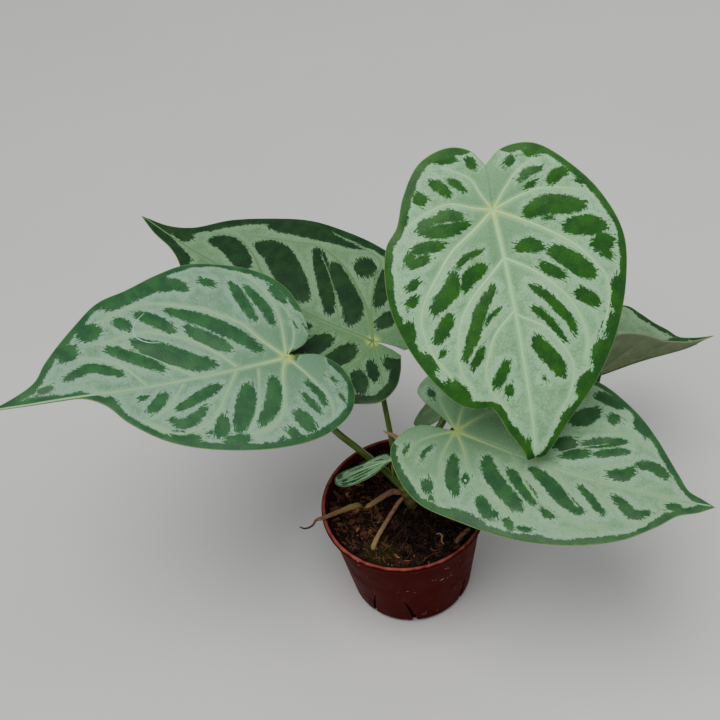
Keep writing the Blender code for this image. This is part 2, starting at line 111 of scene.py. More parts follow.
bpy.ops.object.select_all(action="DESELECT")
bpy.ops.mesh.primitive_plane_add(size=6.0, location=(0, 0, -0.0004))
floor = bpy.context.object
floor.name = "floor"
floor_paint, tree, shader = new_material("pale floor", Roughness=0.75)
grain = cloudy(tree, object_place(tree), 9.0)
paint(tree, shader, mix_colours(tree, grain, (0.74, 0.73, 0.71, 1), (0.80, 0.79, 0.77, 1)))
floor.data.materials.append(floor_paint)

room = bpy.data.worlds.new("pale room")
room.use_nodes = True
room.node_tree.nodes["Background"].inputs["Color"].default_value = (0.93, 0.96, 1.0, 1.0)
room.node_tree.nodes["Background"].inputs["Strength"].default_value = ROOM_LIGHT
scene.world = room

LAMPS = (("overhead lamp", (-0.20, -0.25, 1.5), 1.1, 15.0, (1.0, 0.99, 0.97)),
         ("side lamp", (0.9, 0.2, 1.1), 0.9, 3.0, (0.97, 0.98, 1.0)))
LIT_PLACE = Vector((0, 0, 0.1))
for lamp_name, place, width, power, warmth in LAMPS:
    lamp_data = bpy.data.lights.new(lamp_name, "AREA")
    lamp_data.shape = "DISK"
    lamp_data.size = width
    lamp_data.energy = power
    lamp_data.color = warmth
    lamp = bpy.data.objects.new(lamp_name, lamp_data)
    scene.collection.objects.link(lamp)
    lamp.location = place
    lamp.rotation_euler = (LIT_PLACE - Vector(place)).to_track_quat("-Z", "Y").to_euler()

# The pot: one thin wall of moulded plastic, satin red-brown, with a lip rolled outwards. Narrow slits run up from
# the foot's edge, so that water drains. It has been handled and watered: fine scuffs and dried specks.
RIM_RADIUS = 45.0
POT_HEIGHT = 68.0
FOOT_RADIUS, HEAD_RADIUS = 33.9, 42.3
WALL_FOOT, WALL_HEAD = 5.0, 64.4
WALL = 1.0
SLITS = 8
FIRST_SLIT_DEG = -47.0
EDGE_ROUNDING = 0.18


def wall_radius(z):
    """Outer radius of the tapering wall at a height."""
    return FOOT_RADIUS + (HEAD_RADIUS - FOOT_RADIUS) * (z - WALL_FOOT) / (WALL_HEAD - WALL_FOOT)


# Radius and height of each ring: up the outside, over the lip and down the inside
pot_rings = ((29.5, 0.0), (31.0, 0.1), (32.1, 0.6), (33.0, 1.6), (33.6, 3.0), (FOOT_RADIUS, WALL_FOOT),
             (wall_radius(20), 20), (wall_radius(40), 40), (wall_radius(60), 60), (42.2, 64.0), (42.5, 64.5),
             (43.6, 64.7), (44.4, 64.9), (44.85, 65.4), (RIM_RADIUS, 66.1), (44.95, 66.9), (44.6, 67.6),
             (44.1, 67.95), (43.6, POT_HEIGHT), (43.1, 67.8), (42.6, 67.2), (42.0, 65.5),
             (wall_radius(61) - WALL, 61.0), (wall_radius(40) - WALL, 40.0), (wall_radius(20) - WALL, 20.0),
             (32.9, 5.4), (32.5, 3.6), (31.6, 2.3), (29.9, 1.6))
bpy.ops.object.select_all(action="DESELECT")
bpy.ops.mesh.primitive_circle_add(vertices=144, radius=pot_rings[0][0] * MM, location=(0, 0, 0))
pot = bpy.context.object
pot.name = "pot_shell"
bpy.ops.object.mode_set(mode="EDIT")
bpy.ops.mesh.select_all(action="SELECT")
for (radius, height), (next_radius, next_height) in zip(pot_rings, pot_rings[1:]):
    bpy.ops.mesh.extrude_edges_move()
    growth = next_radius / radius
    bpy.ops.transform.resize(value=(growth, growth, 1), center_override=(0, 0, height * MM))
    bpy.ops.transform.translate(value=(0, 0, (next_height - height) * MM))
bpy.ops.mesh.select_all(action="SELECT")
bpy.ops.mesh.fill_holes(sides=0)
bpy.ops.mesh.select_all(action="SELECT")
bpy.ops.mesh.normals_make_consistent(inside=False)
bpy.ops.object.mode_set(mode="OBJECT")


def select_only(piece):
    bpy.ops.object.select_all(action="DESELECT")
    piece.select_set(True)
    bpy.context.view_layer.objects.active = piece


def apply_modifier(piece, modifier):
    """Makes a modifier's work part of the mesh, as its Apply button does."""
    select_only(piece)
    bpy.ops.object.modifier_apply(modifier=modifier.name)


# The slits stand in pairs that spread downwards, and the tongue beside each one has a rounded corner. One slit's
# edge is given by its place across the wall and its height.
slit_edge = ((-6.3, 26.0), (-5.4, 22.0), (-4.3, 16.0), (-3.3, 10.0), (-2.6, 5.0), (-2.6, 2.4), (-3.0, 1.1),
             (-3.8, 0.35), (-5.0, 0.05), (-5.0, -1.0), (0.6, -1.0), (-0.4, 5.0), (-1.6, 11.0), (-3.4, 18.0),
             (-5.7, 26.0))
cutter_reach = (FOOT_RADIUS - 3.4, FOOT_RADIUS + 6)
corners = len(slit_edge)
cutter_places, cutter_faces = [], []
for number in range(SLITS):
    turn = math.radians(FIRST_SLIT_DEG + 360.0 * number / SLITS)
    lean = 1 if number % 2 else -1
    first = len(cutter_places)
    for out in cutter_reach:
        for across, z in slit_edge:
            cutter_places.append((out * math.cos(turn) - lean * across * math.sin(turn),
                                  out * math.sin(turn) + lean * across * math.cos(turn), z))
    cutter_faces.append([first + k for k in range(corners)])
    cutter_faces.append([first + corners + k for k in reversed(range(corners))])
    for k in range(corners):
        after = (k + 1) % corners
        cutter_faces.append([first + k, first + corners + k, first + corners + after, first + after])
cutter_mesh = bpy.data.meshes.new("slit cutter")
cutter_mesh.from_pydata((np.array(cutter_places) * MM).tolist(), [], cutter_faces)
cutter = bpy.data.objects.new("slit cutter", cutter_mesh)
scene.collection.objects.link(cutter)
select_only(cutter)
bpy.ops.object.mode_set(mode="EDIT")
bpy.ops.mesh.select_all(action="SELECT")
bpy.ops.mesh.normals_make_consistent(inside=False)
bpy.ops.object.mode_set(mode="OBJECT")
openings = pot.modifiers.new("slits", "BOOLEAN")
openings.operation = "DIFFERENCE"
openings.solver = "EXACT"
openings.object = cutter
apply_modifier(pot, openings)
bpy.data.objects.remove(cutter, do_unlink=True)
softened = pot.modifiers.new("softened edges", "BEVEL")
softened.width = EDGE_ROUNDING * MM
softened.segments = 2
softened.limit_method = "ANGLE"
softened.angle_limit = math.radians(50)
apply_modifier(pot, softened)
bpy.ops.object.shade_smooth_by_angle(angle=math.radians(32))


def maths(tree, operation, first, second=0.0, third=0.0, clamp=False):
    values = {0: first, 1: second, 2: third}
    return place_node(tree, "ShaderNodeMath", values, operation=operation, use_clamp=clamp).outputs[0]


def step_between(tree, value, low, high, to_low=0.0, to_high=1.0):
    """A soft step: to_low where the value is under low, to_high where it is over high."""
    made = place_node(tree, "ShaderNodeMapRange", {0: value, 1: low, 2: high, 3: to_low, 4: to_high},
                      interpolation_type="SMOOTHSTEP")
    return made.outputs[0]


def start_group(name, inputs, outputs):
    """An empty shader group with these sockets. Gives the group, its inputs and the node that takes its outputs."""
    group = bpy.data.node_groups.new(name, "ShaderNodeTree")
    for label, kind in inputs:
        group.interface.new_socket(name=label, in_out="INPUT", socket_type="NodeSocket" + kind)
    for label, kind in outputs:
        group.interface.new_socket(name=label, in_out="OUTPUT", socket_type="NodeSocket" + kind)
    entry = group.nodes.new("NodeGroupInput")
    leave = group.nodes.new("NodeGroupOutput")
    return group, entry.outputs, leave


def use_group(tree, group, values):
    return place_node(tree, "ShaderNodeGroup", values, node_tree=group).outputs


# Dried specks and dust: small pale spots of uneven size, more in some places than in others
dried_specks, given, leave = start_group(
    "dried specks", (("Place", "Vector"), ("Scale", "Float"), ("Amount", "Float")), (("Mask", "Float"),))
cells = place_node(dried_specks, "ShaderNodeTexVoronoi", {"Vector": given["Place"], "Scale": given["Scale"]})
patchy = cloudy(dried_specks, given["Place"], 60.0)
reach = maths(dried_specks, "MULTIPLY", step_between(dried_specks, patchy, 0.45, 0.75), given["Amount"])
small = maths(dried_specks, "LESS_THAN", cells.outputs["Distance"], reach)
dried_specks.links.new(small, leave.inputs["Mask"])

pot_plastic, tree, shader = new_material("red-brown plastic", Roughness=0.5, Specular_IOR_Level=0.02)
place = object_place(tree)
tone = cloudy(tree, place, 45.0, 4.0)
# The body's red-brown is partly the plastic's own colour and partly painted shade, kept as dark as a wall shaded by the
# leaves
body_colour = mix_colours(tree, tone, (0.050, 0.0010, 0.0002, 1), (0.072, 0.0026, 0.0006, 1))
height = place_node(tree, "ShaderNodeSeparateXYZ", {0: place}).outputs[2]
# Painted highlight: the top of the rolled lip is lighter where the overhead light falls on it, with a noisy lower
# border
lip_highlight_height = maths(tree, "ADD", height, maths(tree, "MULTIPLY", cloudy(tree, place, 180.0), 0.0016))
lip = step_between(tree, lip_highlight_height, 0.0680, 0.0690)
body_colour = mix_colours(tree, lip, body_colour, (0.33, 0.090, 0.074, 1))
stretched = place_node(tree, "ShaderNodeMapping", {"Vector": place, "Scale": (0.8, 0.8, 2.6)}).outputs[0]
specks = use_group(tree, dried_specks, {"Place": stretched, "Scale": 230.0, "Amount": 0.26})["Mask"]
body_colour = mix_colours(tree, maths(tree, "MULTIPLY", specks, 0.45), body_colour, (0.62, 0.50, 0.50, 1))
handled = step_between(tree, cloudy(tree, place, 90.0, 5.0), 0.3, 0.75, 0.38, 0.55)
tree.links.new(handled, shader.inputs["Roughness"])
scuffs = cloudy(tree, place_node(tree, "ShaderNodeMapping", {"Vector": place, "Scale": (1, 1, 9)}).outputs[0], 160.0)
paint(tree, shader, body_colour, scuffs, strength=0.12, depth=0.0004)
pot.data.materials.append(pot_plastic)
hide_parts("pot")
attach(pot, "root")

# The potting mix: dark composted bark and coconut husk, poured in loose. A crumbly bed fills the pot nearly to
# the lip, with splinters of bark, crumbs and husk fibres lying on it as they fell.
SOIL_LEVEL = 62.4
SOIL_RISE_AT_WALL = 1.6
BED_RADIUS = 41.0
INSIDE_WALL = 1.7


def bed_height(x, y):
    """Height of the bed's surface at a place, in mm."""
    out = min(1.0, math.hypot(x, y) / BED_RADIUS)
    spot = Vector((x, y, 3.0))
    mounds, lumps = 1.5 * noise.noise(spot * 0.16), 0.9 * noise.noise(spot * 0.42)
    return SOIL_LEVEL + SOIL_RISE_AT_WALL * out ** 4 + (mounds + lumps)


def to_mesh_object(name, places, faces, material):
    """An object from vertex places in mm and faces."""
    mesh = bpy.data.meshes.new(name)
    mesh.from_pydata((np.asarray(places) * MM).tolist(), [], faces)
    mesh.update()
    piece = bpy.data.objects.new(name, mesh)
    scene.collection.objects.link(piece)
    mesh.materials.append(material)
    mesh.shade_smooth()
    return piece


def add_tones(mesh, name, values):
    """Keeps one number for each vertex, for a material to read."""
    mesh.attributes.new(name, "FLOAT", "POINT").data.foreach_set("value", np.asarray(values, np.float32))


def read_tone(tree, name):
    return place_node(tree, "ShaderNodeAttribute", attribute_name=name).outputs["Fac"]


# How near a place is to a spot, with an uneven border
near_spot, given, leave = start_group(
    "near a spot", (("Place", "Vector"), ("Spot", "Vector"), ("Reach", "Float"), ("Strength", "Float")),
    (("Mask", "Float"),))
away = place_node(near_spot, "ShaderNodeVectorMath", {0: given["Place"], 1: given["Spot"]}, operation="DISTANCE")
uneven = maths(near_spot, "MULTIPLY_ADD", cloudy(near_spot, given["Place"], 160.0), 0.016, -0.008)
away = maths(near_spot, "ADD", away.outputs["Value"], uneven)
half_reach = maths(near_spot, "MULTIPLY", given["Reach"], 0.4)
near = step_between(near_spot, away, half_reach, given["Reach"], given["Strength"], 0.0)
near_spot.links.new(near, leave.inputs["Mask"])


# The mix is mossy where it has stayed wet beside a root, and round the stem it is darkened by painted shade of the
# leaves above: the place, how far it reaches and how strongly, and its tint
MOSS_AND_SHADE_SPOTS = (((-0.016, -0.028, 0.064), 0.012, 0.35, (0.055, 0.045, 0.009, 1)),
              ((0.008, -0.010, 0.064), 0.033, 0.66, (0.0006, 0.0004, 0.0003, 1)))


def tint_moss_and_shade(tree, place, colour):
    """Tints a colour of the mix at its mossy spot, and darkens it round the stem with painted shade."""
    for spot, reach, strength, tint in MOSS_AND_SHADE_SPOTS:
        near = use_group(tree, near_spot, {"Place": place, "Spot": spot, "Reach": reach, "Strength": strength})
        colour = mix_colours(tree, near["Mask"], colour, tint)
    return colour


def tint_between(tree, value, low, high, first, second):
    """The first colour where the value is under low, the second where it is over high."""
    return mix_colours(tree, step_between(tree, value, low, high), first, second)


crumbs_of_mix, tree, shader = new_material("composted bark", Roughness=0.95, Specular_IOR_Level=0.2)
place = object_place(tree)
fine = cloudy(tree, place, 900.0, 5.0, 0.7)
patches = cloudy(tree, place, 95.0, 3.0)
bed_colour = tint_between(tree, fine, 0.35, 0.75, (0.0022, 0.0013, 0.0009, 1), (0.022, 0.009, 0.0045, 1))
patchy = step_between(tree, patches, 0.42, 0.68, 0.0, 0.5)
bed_colour = mix_colours(tree, patchy, bed_colour, (0.060, 0.022, 0.010, 1))
paint(tree, shader, tint_moss_and_shade(tree, place, bed_colour), fine, strength=0.9, depth=0.0012)

rings, sectors = 92, 200
bed_places, bed_faces = [(0.0, 0.0, bed_height(0, 0))], []
for ring in range(1, rings + 1):
    r = BED_RADIUS * ring / rings
    for sector in range(sectors):
        a = 2 * math.pi * sector / sectors
        x, y = r * math.cos(a), r * math.sin(a)
        crumble = 0.55 * noise.noise(Vector((x, y, 0)) * 1.1) + 0.35 * noise.noise(Vector((x, y, 5)) * 2.3)
        bed_places.append((x, y, bed_height(x, y) + crumble))
for r, z in ((wall_radius(40) - INSIDE_WALL, 40.0), (wall_radius(6) - INSIDE_WALL, 6.0), (FOOT_RADIUS - 4.6, 1.9)):
    bed_places.extend((r * math.cos(2 * math.pi * s / sectors), r * math.sin(2 * math.pi * s / sectors), z)
                      for s in range(sectors))
for sector in range(sectors):
    after = (sector + 1) % sectors
    bed_faces.append((0, 1 + sector, 1 + after))
    for ring in range(rings + 2):
        inner, outer = 1 + ring * sectors, 1 + (ring + 1) * sectors
        bed_faces.append((inner + sector, outer + sector, outer + after, inner + after))
bed_faces.append(tuple(1 + (rings + 2) * sectors + s for s in reversed(range(sectors))))
bed = to_mesh_object("potting_mix_bed", bed_places, bed_faces, crumbs_of_mix)
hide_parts("potting_mix")
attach(bed, "root")

chip_bark, tree, shader = new_material("bark chips", Roughness=0.85, Specular_IOR_Level=0.25)
place = object_place(tree)
tone = read_tone(tree, "tone")
mottling = maths(tree, "MULTIPLY_ADD", cloudy(tree, place, 700.0, 4.0), 0.5, -0.25)
mottled = maths(tree, "ADD", tone, mottling, clamp=True)
chip_colour = tint_between(tree, mottled, 0.05, 0.6, (0.004, 0.0020, 0.0013, 1), (0.100, 0.036, 0.015, 1))
chip_colour = tint_between(tree, mottled, 0.6, 1.0, chip_colour, (0.40, 0.175, 0.080, 1))
grit = cloudy(tree, place, 1500.0)
paint(tree, shader, tint_moss_and_shade(tree, place, chip_colour), grit, strength=0.6, depth=0.0006)

# How far a strewn piece lies from level, in radians
TILT = 0.33


def scatter(count, longest, shape_of, seed):
    """Copies of small solids strewn over the bed, each with its own size, turn and tone."""
    strewn = np.random.default_rng(seed)
    places, faces, tones = [], [], []
    for _ in range(count):
        r = (BED_RADIUS - 1.2) * math.sqrt(strewn.uniform(0.0, 1.0))
        a = strewn.uniform(0, 2 * math.pi)
        x, y = r * math.cos(a), r * math.sin(a)
        points, sides, tone = shape_of(strewn, longest)
        tilt = Matrix.Rotation(strewn.uniform(0, 2 * math.pi), 3, "Z")
        for axis in "XY":
            tilt = tilt @ Matrix.Rotation(strewn.normal(0, TILT), 3, axis)
        points = points @ np.array(tilt).T
        reach = np.hypot(points[:, 0] + x, points[:, 1] + y).max()
        if reach > BED_RADIUS:
            points[:, :2] -= np.array([x, y]) / r * (reach - BED_RADIUS)
        first = len(places)
        places.extend(points + (x, y, bed_height(x, y) + strewn.uniform(-0.1, 0.5)))
        faces.extend(tuple(first + corner for corner in side) for side in sides)
        tones.extend([tone] * len(points))
    return places, faces, tones


BOX_SIDES = ((0, 3, 2, 1), (4, 5, 6, 7), (0, 1, 5, 4), (1, 2, 6, 5), (2, 3, 7, 6), (3, 0, 4, 7))


def splinter(strewn, longest):
    """A split chip: longer than wide, with no two sides alike."""
    length = longest * strewn.uniform(0.25, 1.0) ** 1.6
    width = length * strewn.uniform(0.18, 0.55)
    thick = width * strewn.uniform(0.25, 0.6)
    corners = np.array([(x, y, z) for z in (-1, 1) for x, y in ((-1, -1), (1, -1), (1, 1), (-1, 1))], float) * 0.5
    corners *= (length, width, thick)
    corners += strewn.normal(0, 0.14, corners.shape) * (length, width, thick)
    return corners, BOX_SIDES, strewn.beta(0.75, 1.9)


def crumb(strewn, longest):
    """A rounded crumb: an octahedron with each corner pushed about."""
    size = longest * strewn.uniform(0.3, 1.0)
    corners = np.array([(1, 0, 0), (0, 1, 0), (-1, 0, 0), (0, -1, 0), (0, 0, 1), (0, 0, -1)], float) * size * 0.5
    corners *= strewn.uniform(0.6, 1.3, (6, 1))
    sides = tuple((i, (i + 1) % 4, 4) for i in range(4)) + tuple(((i + 1) % 4, i, 5) for i in range(4))
    return corners, sides, strewn.beta(0.7, 2.6)


STREWN = (("bark_splinters", 1500, 5.2, splinter, 21), ("mix_crumbs", 2600, 1.5, crumb, 22))
for name, count, longest, shape_of, seed in STREWN:
    places, faces, tones = scatter(count, longest, shape_of, seed)
    strewn_piece = to_mesh_object(name, places, faces, chip_bark)
    add_tones(strewn_piece.data, "tone", tones)
    strewn_piece.data.shade_flat()
    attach(strewn_piece, "root")


def smooth_curve(points, steps):
    """Points along a smooth curve through these points, with that many steps to each span."""
    p = np.asarray(points, float)
    p = np.vstack([2 * p[0] - p[1], p, 2 * p[-1] - p[-2]])
    gap = np.sqrt(np.linalg.norm(np.diff(p, axis=0), axis=1))
    curve = []
    for i in range(1, len(p) - 2):
        before, start, end, after = p[i - 1:i + 3]
        a, b, c = gap[i - 1:i + 2]
        leave = end - start + b * ((start - before) / a - (end - before) / (a + b))
        arrive = end - start + b * ((after - end) / c - (after - start) / (b + c))
        for t in np.linspace(0, 1, steps, endpoint=False):
            curve.append(start + t * leave + t * t * (3 * (end - start) - 2 * leave - arrive)
                         + t ** 3 * (leave + arrive - 2 * (end - start)))
    curve.append(p[-2])
    return np.array(curve)


def strand(route, radii, sides, steps, flatten=1.0, knobs=0.0, ribs=0.0):
    """Rings and faces of a closed round strand through the route, with a place on its own skin for each vertex."""
    path = smooth_curve([(*place, radius) for place, radius in zip(route, radii)], steps)
    centre, radius = path[:, :3], path[:, 3]
    heading = np.gradient(centre, axis=0)
    heading /= np.linalg.norm(heading, axis=1)[:, None]
    along = np.concatenate([[0], np.cumsum(np.linalg.norm(np.diff(centre, axis=0), axis=1))])
    side = np.cross(heading[0], (0.3, 0.2, 1.0))
    places, skin = [], []
    for i, (middle, ahead) in enumerate(zip(centre, heading)):
        side = side - (side @ ahead) * ahead
        side /= np.linalg.norm(side)
        over = np.cross(ahead, side)
        for k in range(sides):
            a = 2 * math.pi * k / sides
            spot = Vector((2.2 * math.cos(a), 2.2 * math.sin(a), along[i] * 0.55))
            swell = 1 + knobs * noise.noise(spot) + ribs * math.cos(7 * a)
            places.append(middle + radius[i] * swell * (math.cos(a) * side + flatten * math.sin(a) * over))
            skin.append((radius[i] * math.cos(a), radius[i] * math.sin(a), along[i]))
    faces = []
    for i in range(len(centre) - 1):
        for k in range(sides):
            m = (k + 1) % sides
            faces.append((i * sides + k, i * sides + m, (i + 1) * sides + m, (i + 1) * sides + k))
    faces.append(tuple(reversed(range(sides))))
    faces.append(tuple((len(centre) - 1) * sides + k for k in range(sides)))
    return places, faces, skin


husk_fibre, tree, shader = new_material("husk fibres", Roughness=0.8, Specular_IOR_Level=0.25)
tone = read_tone(tree, "tone")
fibre_colour = mix_colours(tree, tone, (0.014, 0.006, 0.003, 1), (0.36, 0.165, 0.075, 1))
streaks = step_between(tree, cloudy(tree, object_place(tree), 400.0), 0.3, 0.7, 0.75, 1.1)
fibre_colour = mix_colours(tree, 1.0, fibre_colour, streaks, "MULTIPLY")
paint(tree, shader, tint_moss_and_shade(tree, object_place(tree), fibre_colour))

FIBRES, FIBRE_SPANS = 560, 4
rng = np.random.default_rng(11)
places, faces, tones = [], [], []
for _ in range(FIBRES):
    r = (BED_RADIUS - 3.0) * math.sqrt(rng.uniform(0, 1))
    a = rng.uniform(0, 2 * math.pi)
    heading = rng.uniform(0, 2 * math.pi)
    length = rng.uniform(2.5, 12.0)
    route = []
    x, y = r * math.cos(a), r * math.sin(a)
    for step in range(FIBRE_SPANS + 1):
        if math.hypot(x, y) > BED_RADIUS - 0.8:
            break
        route.append((x, y, bed_height(x, y) + 0.25 + 0.35 * math.sin(step * 1.1) + rng.uniform(0, 0.35)))
        heading += rng.normal(0, 0.42)
        x += math.cos(heading) * length / FIBRE_SPANS
        y += math.sin(heading) * length / FIBRE_SPANS
    if len(route) < 3:
        continue
    thick = rng.uniform(0.09, 0.24)
    made, sides_made, _ = strand(route, [thick] * (len(route) - 1) + [thick * 0.4], 4, 2)
    first = len(places)
    places.extend(made)
    faces.extend(tuple(first + corner for corner in side) for side in sides_made)
    tones.extend([rng.beta(0.9, 1.5)] * len(made))
fibres = to_mesh_object("husk_fibres", places, faces, husk_fibre)
add_tones(fibres.data, "tone", tones)
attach(fibres, "root")

# The roots: fleshy aerial roots, tan-brown and slightly knobbly. Two leave the foot of the stem and dive into
# the mix, one comes up again and hangs over the lip as a thin dry curl, and one shows beside the right wall.
ROOT_SIDES = 20


def add_places(mesh, name, places):
    """Keeps one place for each vertex, for a material to read."""
    layer = mesh.attributes.new(name, "FLOAT_VECTOR", "POINT")
    layer.data.foreach_set("vector", np.asarray(places, np.float32).ravel())


def read_places(tree, name):
    return place_node(tree, "ShaderNodeAttribute", attribute_name=name).outputs["Vector"]


def streaks_along(tree, share, scale, roughness=0.6):
    """Streaks along a strand, on its own skin: a small share of their places along it draws them out."""
    drawn_out = place_node(tree, "ShaderNodeMapping", {"Vector": read_places(tree, "skin"), "Scale": (1, 1, share)})
    return cloudy(tree, drawn_out.outputs[0], scale, 4.0, roughness)


root_skin, tree, shader = new_material("root skin", Roughness=0.75)
streaks = streaks_along(tree, 0.22, 1.9)
root_colour = tint_between(tree, streaks, 0.3, 0.7, (0.105, 0.046, 0.022, 1), (0.34, 0.170, 0.085, 1))
root_colour = mix_colours(tree, read_tone(tree, "green"), root_colour, (0.40, 0.33, 0.10, 1))
root_colour = mix_colours(tree, read_tone(tree, "dry"), root_colour, (0.028, 0.016, 0.011, 1))
paint(tree, shader, root_colour, streaks, strength=0.5, depth=0.0005)

# Each root's route, its radii, and how green and how dry it is at each place of the route
ROOTS = {
    "root_left": (((-0.5, 5.5, 68), (-5.5, 8, 66.6), (-12.7, 5.6, 65.2), (-20.9, 2.2, 62.6), (-25, 0.2, 57)),
                  (1.5, 1.7, 1.6, 1.4, 1.0), (0.0, 0.0, 0.1, 0.5, 0.5), (0, 0, 0, 0, 0)),
    "root_front": (((2.2, 2.4, 67.5), (-0.8, 1.8, 67.4), (-10, -9, 65.4), (-19, -23, 64.2), (-20.6, -25.5, 58)),
                   (1.2, 1.2, 1.2, 1.4, 1.4), (0.0, 0.0, 0.0, 0.4, 0.6), (0, 0, 0, 0, 0)),
    "root_over_rim": (((-22, 7.4, 57), (-26.3, 4.0, 64), (-35.2, -0.4, 66.8), (-44.2, -5.3, 69.8),
                       (-47.8, -4.9, 68.4), (-50.9, -5.6, 64.6), (-55, -5.4, 62.8), (-57.6, -3.6, 62.6)),
                      (1.5, 1.8, 1.4, 1.1, 0.8, 0.6, 0.5, 0.3), (0.8, 0.7, 0.25, 0, 0, 0, 0, 0),
                      (0, 0, 0, 0, 0.2, 0.7, 1, 1)),
    "root_right": (((31.4, -20.4, 57), (31.6, -22.2, 64.4), (25.4, -27.6, 65.2), (21.4, -30.4, 58)),
                   (0.9, 1.3, 1.2, 0.8), (0, 0.1, 0, 0), (0, 0, 0, 0)),
}
for node, (route, radii, greens, dries) in ROOTS.items():
    places, faces, skin = strand(route, radii, ROOT_SIDES, 16, knobs=0.16)
    root = to_mesh_object(node + "_skin", places, faces, root_skin)
    add_places(root.data, "skin", skin)
    share = np.repeat(np.linspace(0, 1, len(places) // ROOT_SIDES), ROOT_SIDES)
    stations = np.linspace(0, 1, len(route))
    add_tones(root.data, "green", np.interp(share, stations, greens))
    add_tones(root.data, "dry", np.interp(share, stations, dries))
    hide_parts(node)
    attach(root, "root")

ROOTLET = ((14.3, -21.5), (16.0, -21.9), (17.2, -23.6), (16.6, -26.2), (17.4, -28.6))
rootlet_route = [(x, y, bed_height(x, y) + 1.0) for x, y in ROOTLET]
places, faces, skin = strand(rootlet_route, (0.3, 0.55, 0.6, 0.5, 0.3), 12, 10, knobs=0.2)
rootlet = to_mesh_object("loose_rootlet", places, faces, root_skin)
add_places(rootlet.data, "skin", skin)
add_tones(rootlet.data, "green", np.full(len(places), 0.35))
add_tones(rootlet.data, "dry", np.zeros(len(places)))
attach(rootlet, "root")

# The stem: a short trunk, yellow-green and ringed by the scars of fallen leaves, browner where it enters the
# mix. The stalks of the five large leaves and of the new one leave it one above the other.
STEM_ROUTE = ((5.5, -1.0, 50), (4.2, 0.8, 62), (1.8, 4.2, 73), (0.4, 6.6, 81))
stem_skin, tree, shader = new_material("stem skin", Roughness=0.45)
place = object_place(tree)
height = place_node(tree, "ShaderNodeSeparateXYZ", {0: place}).outputs[2]
blotchy = cloudy(tree, place, 260.0, 4.0)
stem_colour = mix_colours(tree, blotchy, (0.085, 0.125, 0.018, 1), (0.19, 0.20, 0.045, 1))
uneven = maths(tree, "ADD", height, maths(tree, "MULTIPLY", blotchy, 0.006))
browned = step_between(tree, uneven, 0.071, 0.079, 0.85, 0.0)
stem_colour = mix_colours(tree, browned, stem_colour, (0.10, 0.065, 0.022, 1))
paint(tree, shader, stem_colour, blotchy, strength=0.35, depth=0.0006)
stem_path = smooth_curve(STEM_ROUTE, 8)
stem_share = np.linspace(0, 1, len(stem_path))
scars = 1 + 0.07 * np.cos(stem_share * 44)
stem_radii = np.interp(stem_share, (0, 0.33, 0.66, 1), (3.3, 3.5, 3.3, 2.6)) * scars
places, faces, _ = strand(stem_path.tolist(), stem_radii.tolist(), 40, 3, knobs=0.05)
stem = to_mesh_object("stem_skin", places, faces, stem_skin)
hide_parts("stem")
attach(stem, "root")

# The leaf blades: thin and stiff as fine leather, heart-shaped, and each held up by its own stalk. The face is
# silver over green: dark green is left between the pale raised veins and along the margin, and the back is mid
# green. Each is drawn flat, in mm from its petiole, and then bent: the front blade here, the others after it.
BEND_STATIONS, BEHIND_LOBES, PAST_TIP = 300, 60, 5
FOLD_FROM, FOLD_TO = 0.30, 0.56
FOLD_STEPS = 12


def leaf_axes(leaf):
    """Unit vectors at the petiole: towards the tip, to the blade's right, and out of its upper face."""
    heading, rise, roll = (math.radians(leaf[k]) for k in ("heading", "rise", "roll"))
    tipwards = np.array([math.cos(rise) * math.cos(heading), math.cos(rise) * math.sin(heading), math.sin(rise)])
    level = np.array([math.sin(heading), -math.cos(heading), 0.0])
    up = np.cross(level, tipwards)
    right = math.cos(roll) * level - math.sin(roll) * up
    return tipwards, right, math.sin(roll) * level + math.cos(roll) * up


def bend_blade(leaf, flat):
    """Carries flat blade points (x, y) in mm to where the arched, folded and cupped blade holds them."""
    tipwards, right, up = leaf_axes(leaf)
    x, y = flat[..., 0], flat[..., 1]
    stations = np.linspace(-BEHIND_LOBES, leaf["length"] + PAST_TIP, BEND_STATIONS)
    share = stations / leaf["length"]
    droop = np.clip((share - leaf["droop_from"]) / (1 - leaf["droop_from"]), 0, 2) ** 2
    bend = np.radians(np.where(share >= 0, leaf["arch"], leaf["lobe_arch"]) * share + leaf["droop"] * droop)
    sway = np.radians(leaf["sway"] * np.clip(share, 0, 2))

    def travelled(slope):
        total = np.concatenate([[0], np.cumsum((slope[1:] + slope[:-1]) / 2 * np.diff(stations))])
        return np.interp(y, stations, total - np.interp(0, stations, total))[..., None]

    spine = (np.array(leaf["junction"]) + travelled(np.cos(bend) * np.cos(sway)) * tipwards
             - travelled(np.sin(bend)) * up + travelled(np.cos(bend) * np.sin(sway)) * right)
    bend_here = np.interp(y, stations, bend)[..., None]
    sway_here = np.interp(y, stations, sway)[..., None]
    tipwards_here = np.cos(bend_here) * tipwards - np.sin(bend_here) * up
    up_here = np.sin(bend_here) * tipwards + np.cos(bend_here) * up
    right_here = np.cos(sway_here) * right - np.sin(sway_here) * tipwards_here

    side = (x < 0).astype(int)
    folding = np.clip((y / leaf["length"] - FOLD_FROM) / (FOLD_TO - FOLD_FROM), 0, 1)
    folding = folding * folding * (3 - 2 * folding)
    fold = np.array(leaf["fold"])[side] + np.array(leaf["fold_more"])[side] * folding
    cup = np.array(leaf["cup"])[side] * np.abs(x) / leaf["half_width"]
    across, lift = np.zeros_like(x), np.zeros_like(x)
    for step in range(FOLD_STEPS):
        slope = np.radians(fold - cup * (step + 0.5) / FOLD_STEPS)
        across += np.cos(slope) / FOLD_STEPS
        lift += np.sin(slope) / FOLD_STEPS
    return spine + (across * x)[..., None] * right_here + (lift * np.abs(x))[..., None] * up_here


def margin_line(leaf, side):
    """The outline of one half blade, from the notch behind the petiole to the tip."""
    return smooth_curve(list(leaf[side]) + [(leaf["tip"], leaf["length"])], 12)


NOTCH_STEPS = 24
LEAN_FROM, LEAN_OVER = 0.7, 0.3


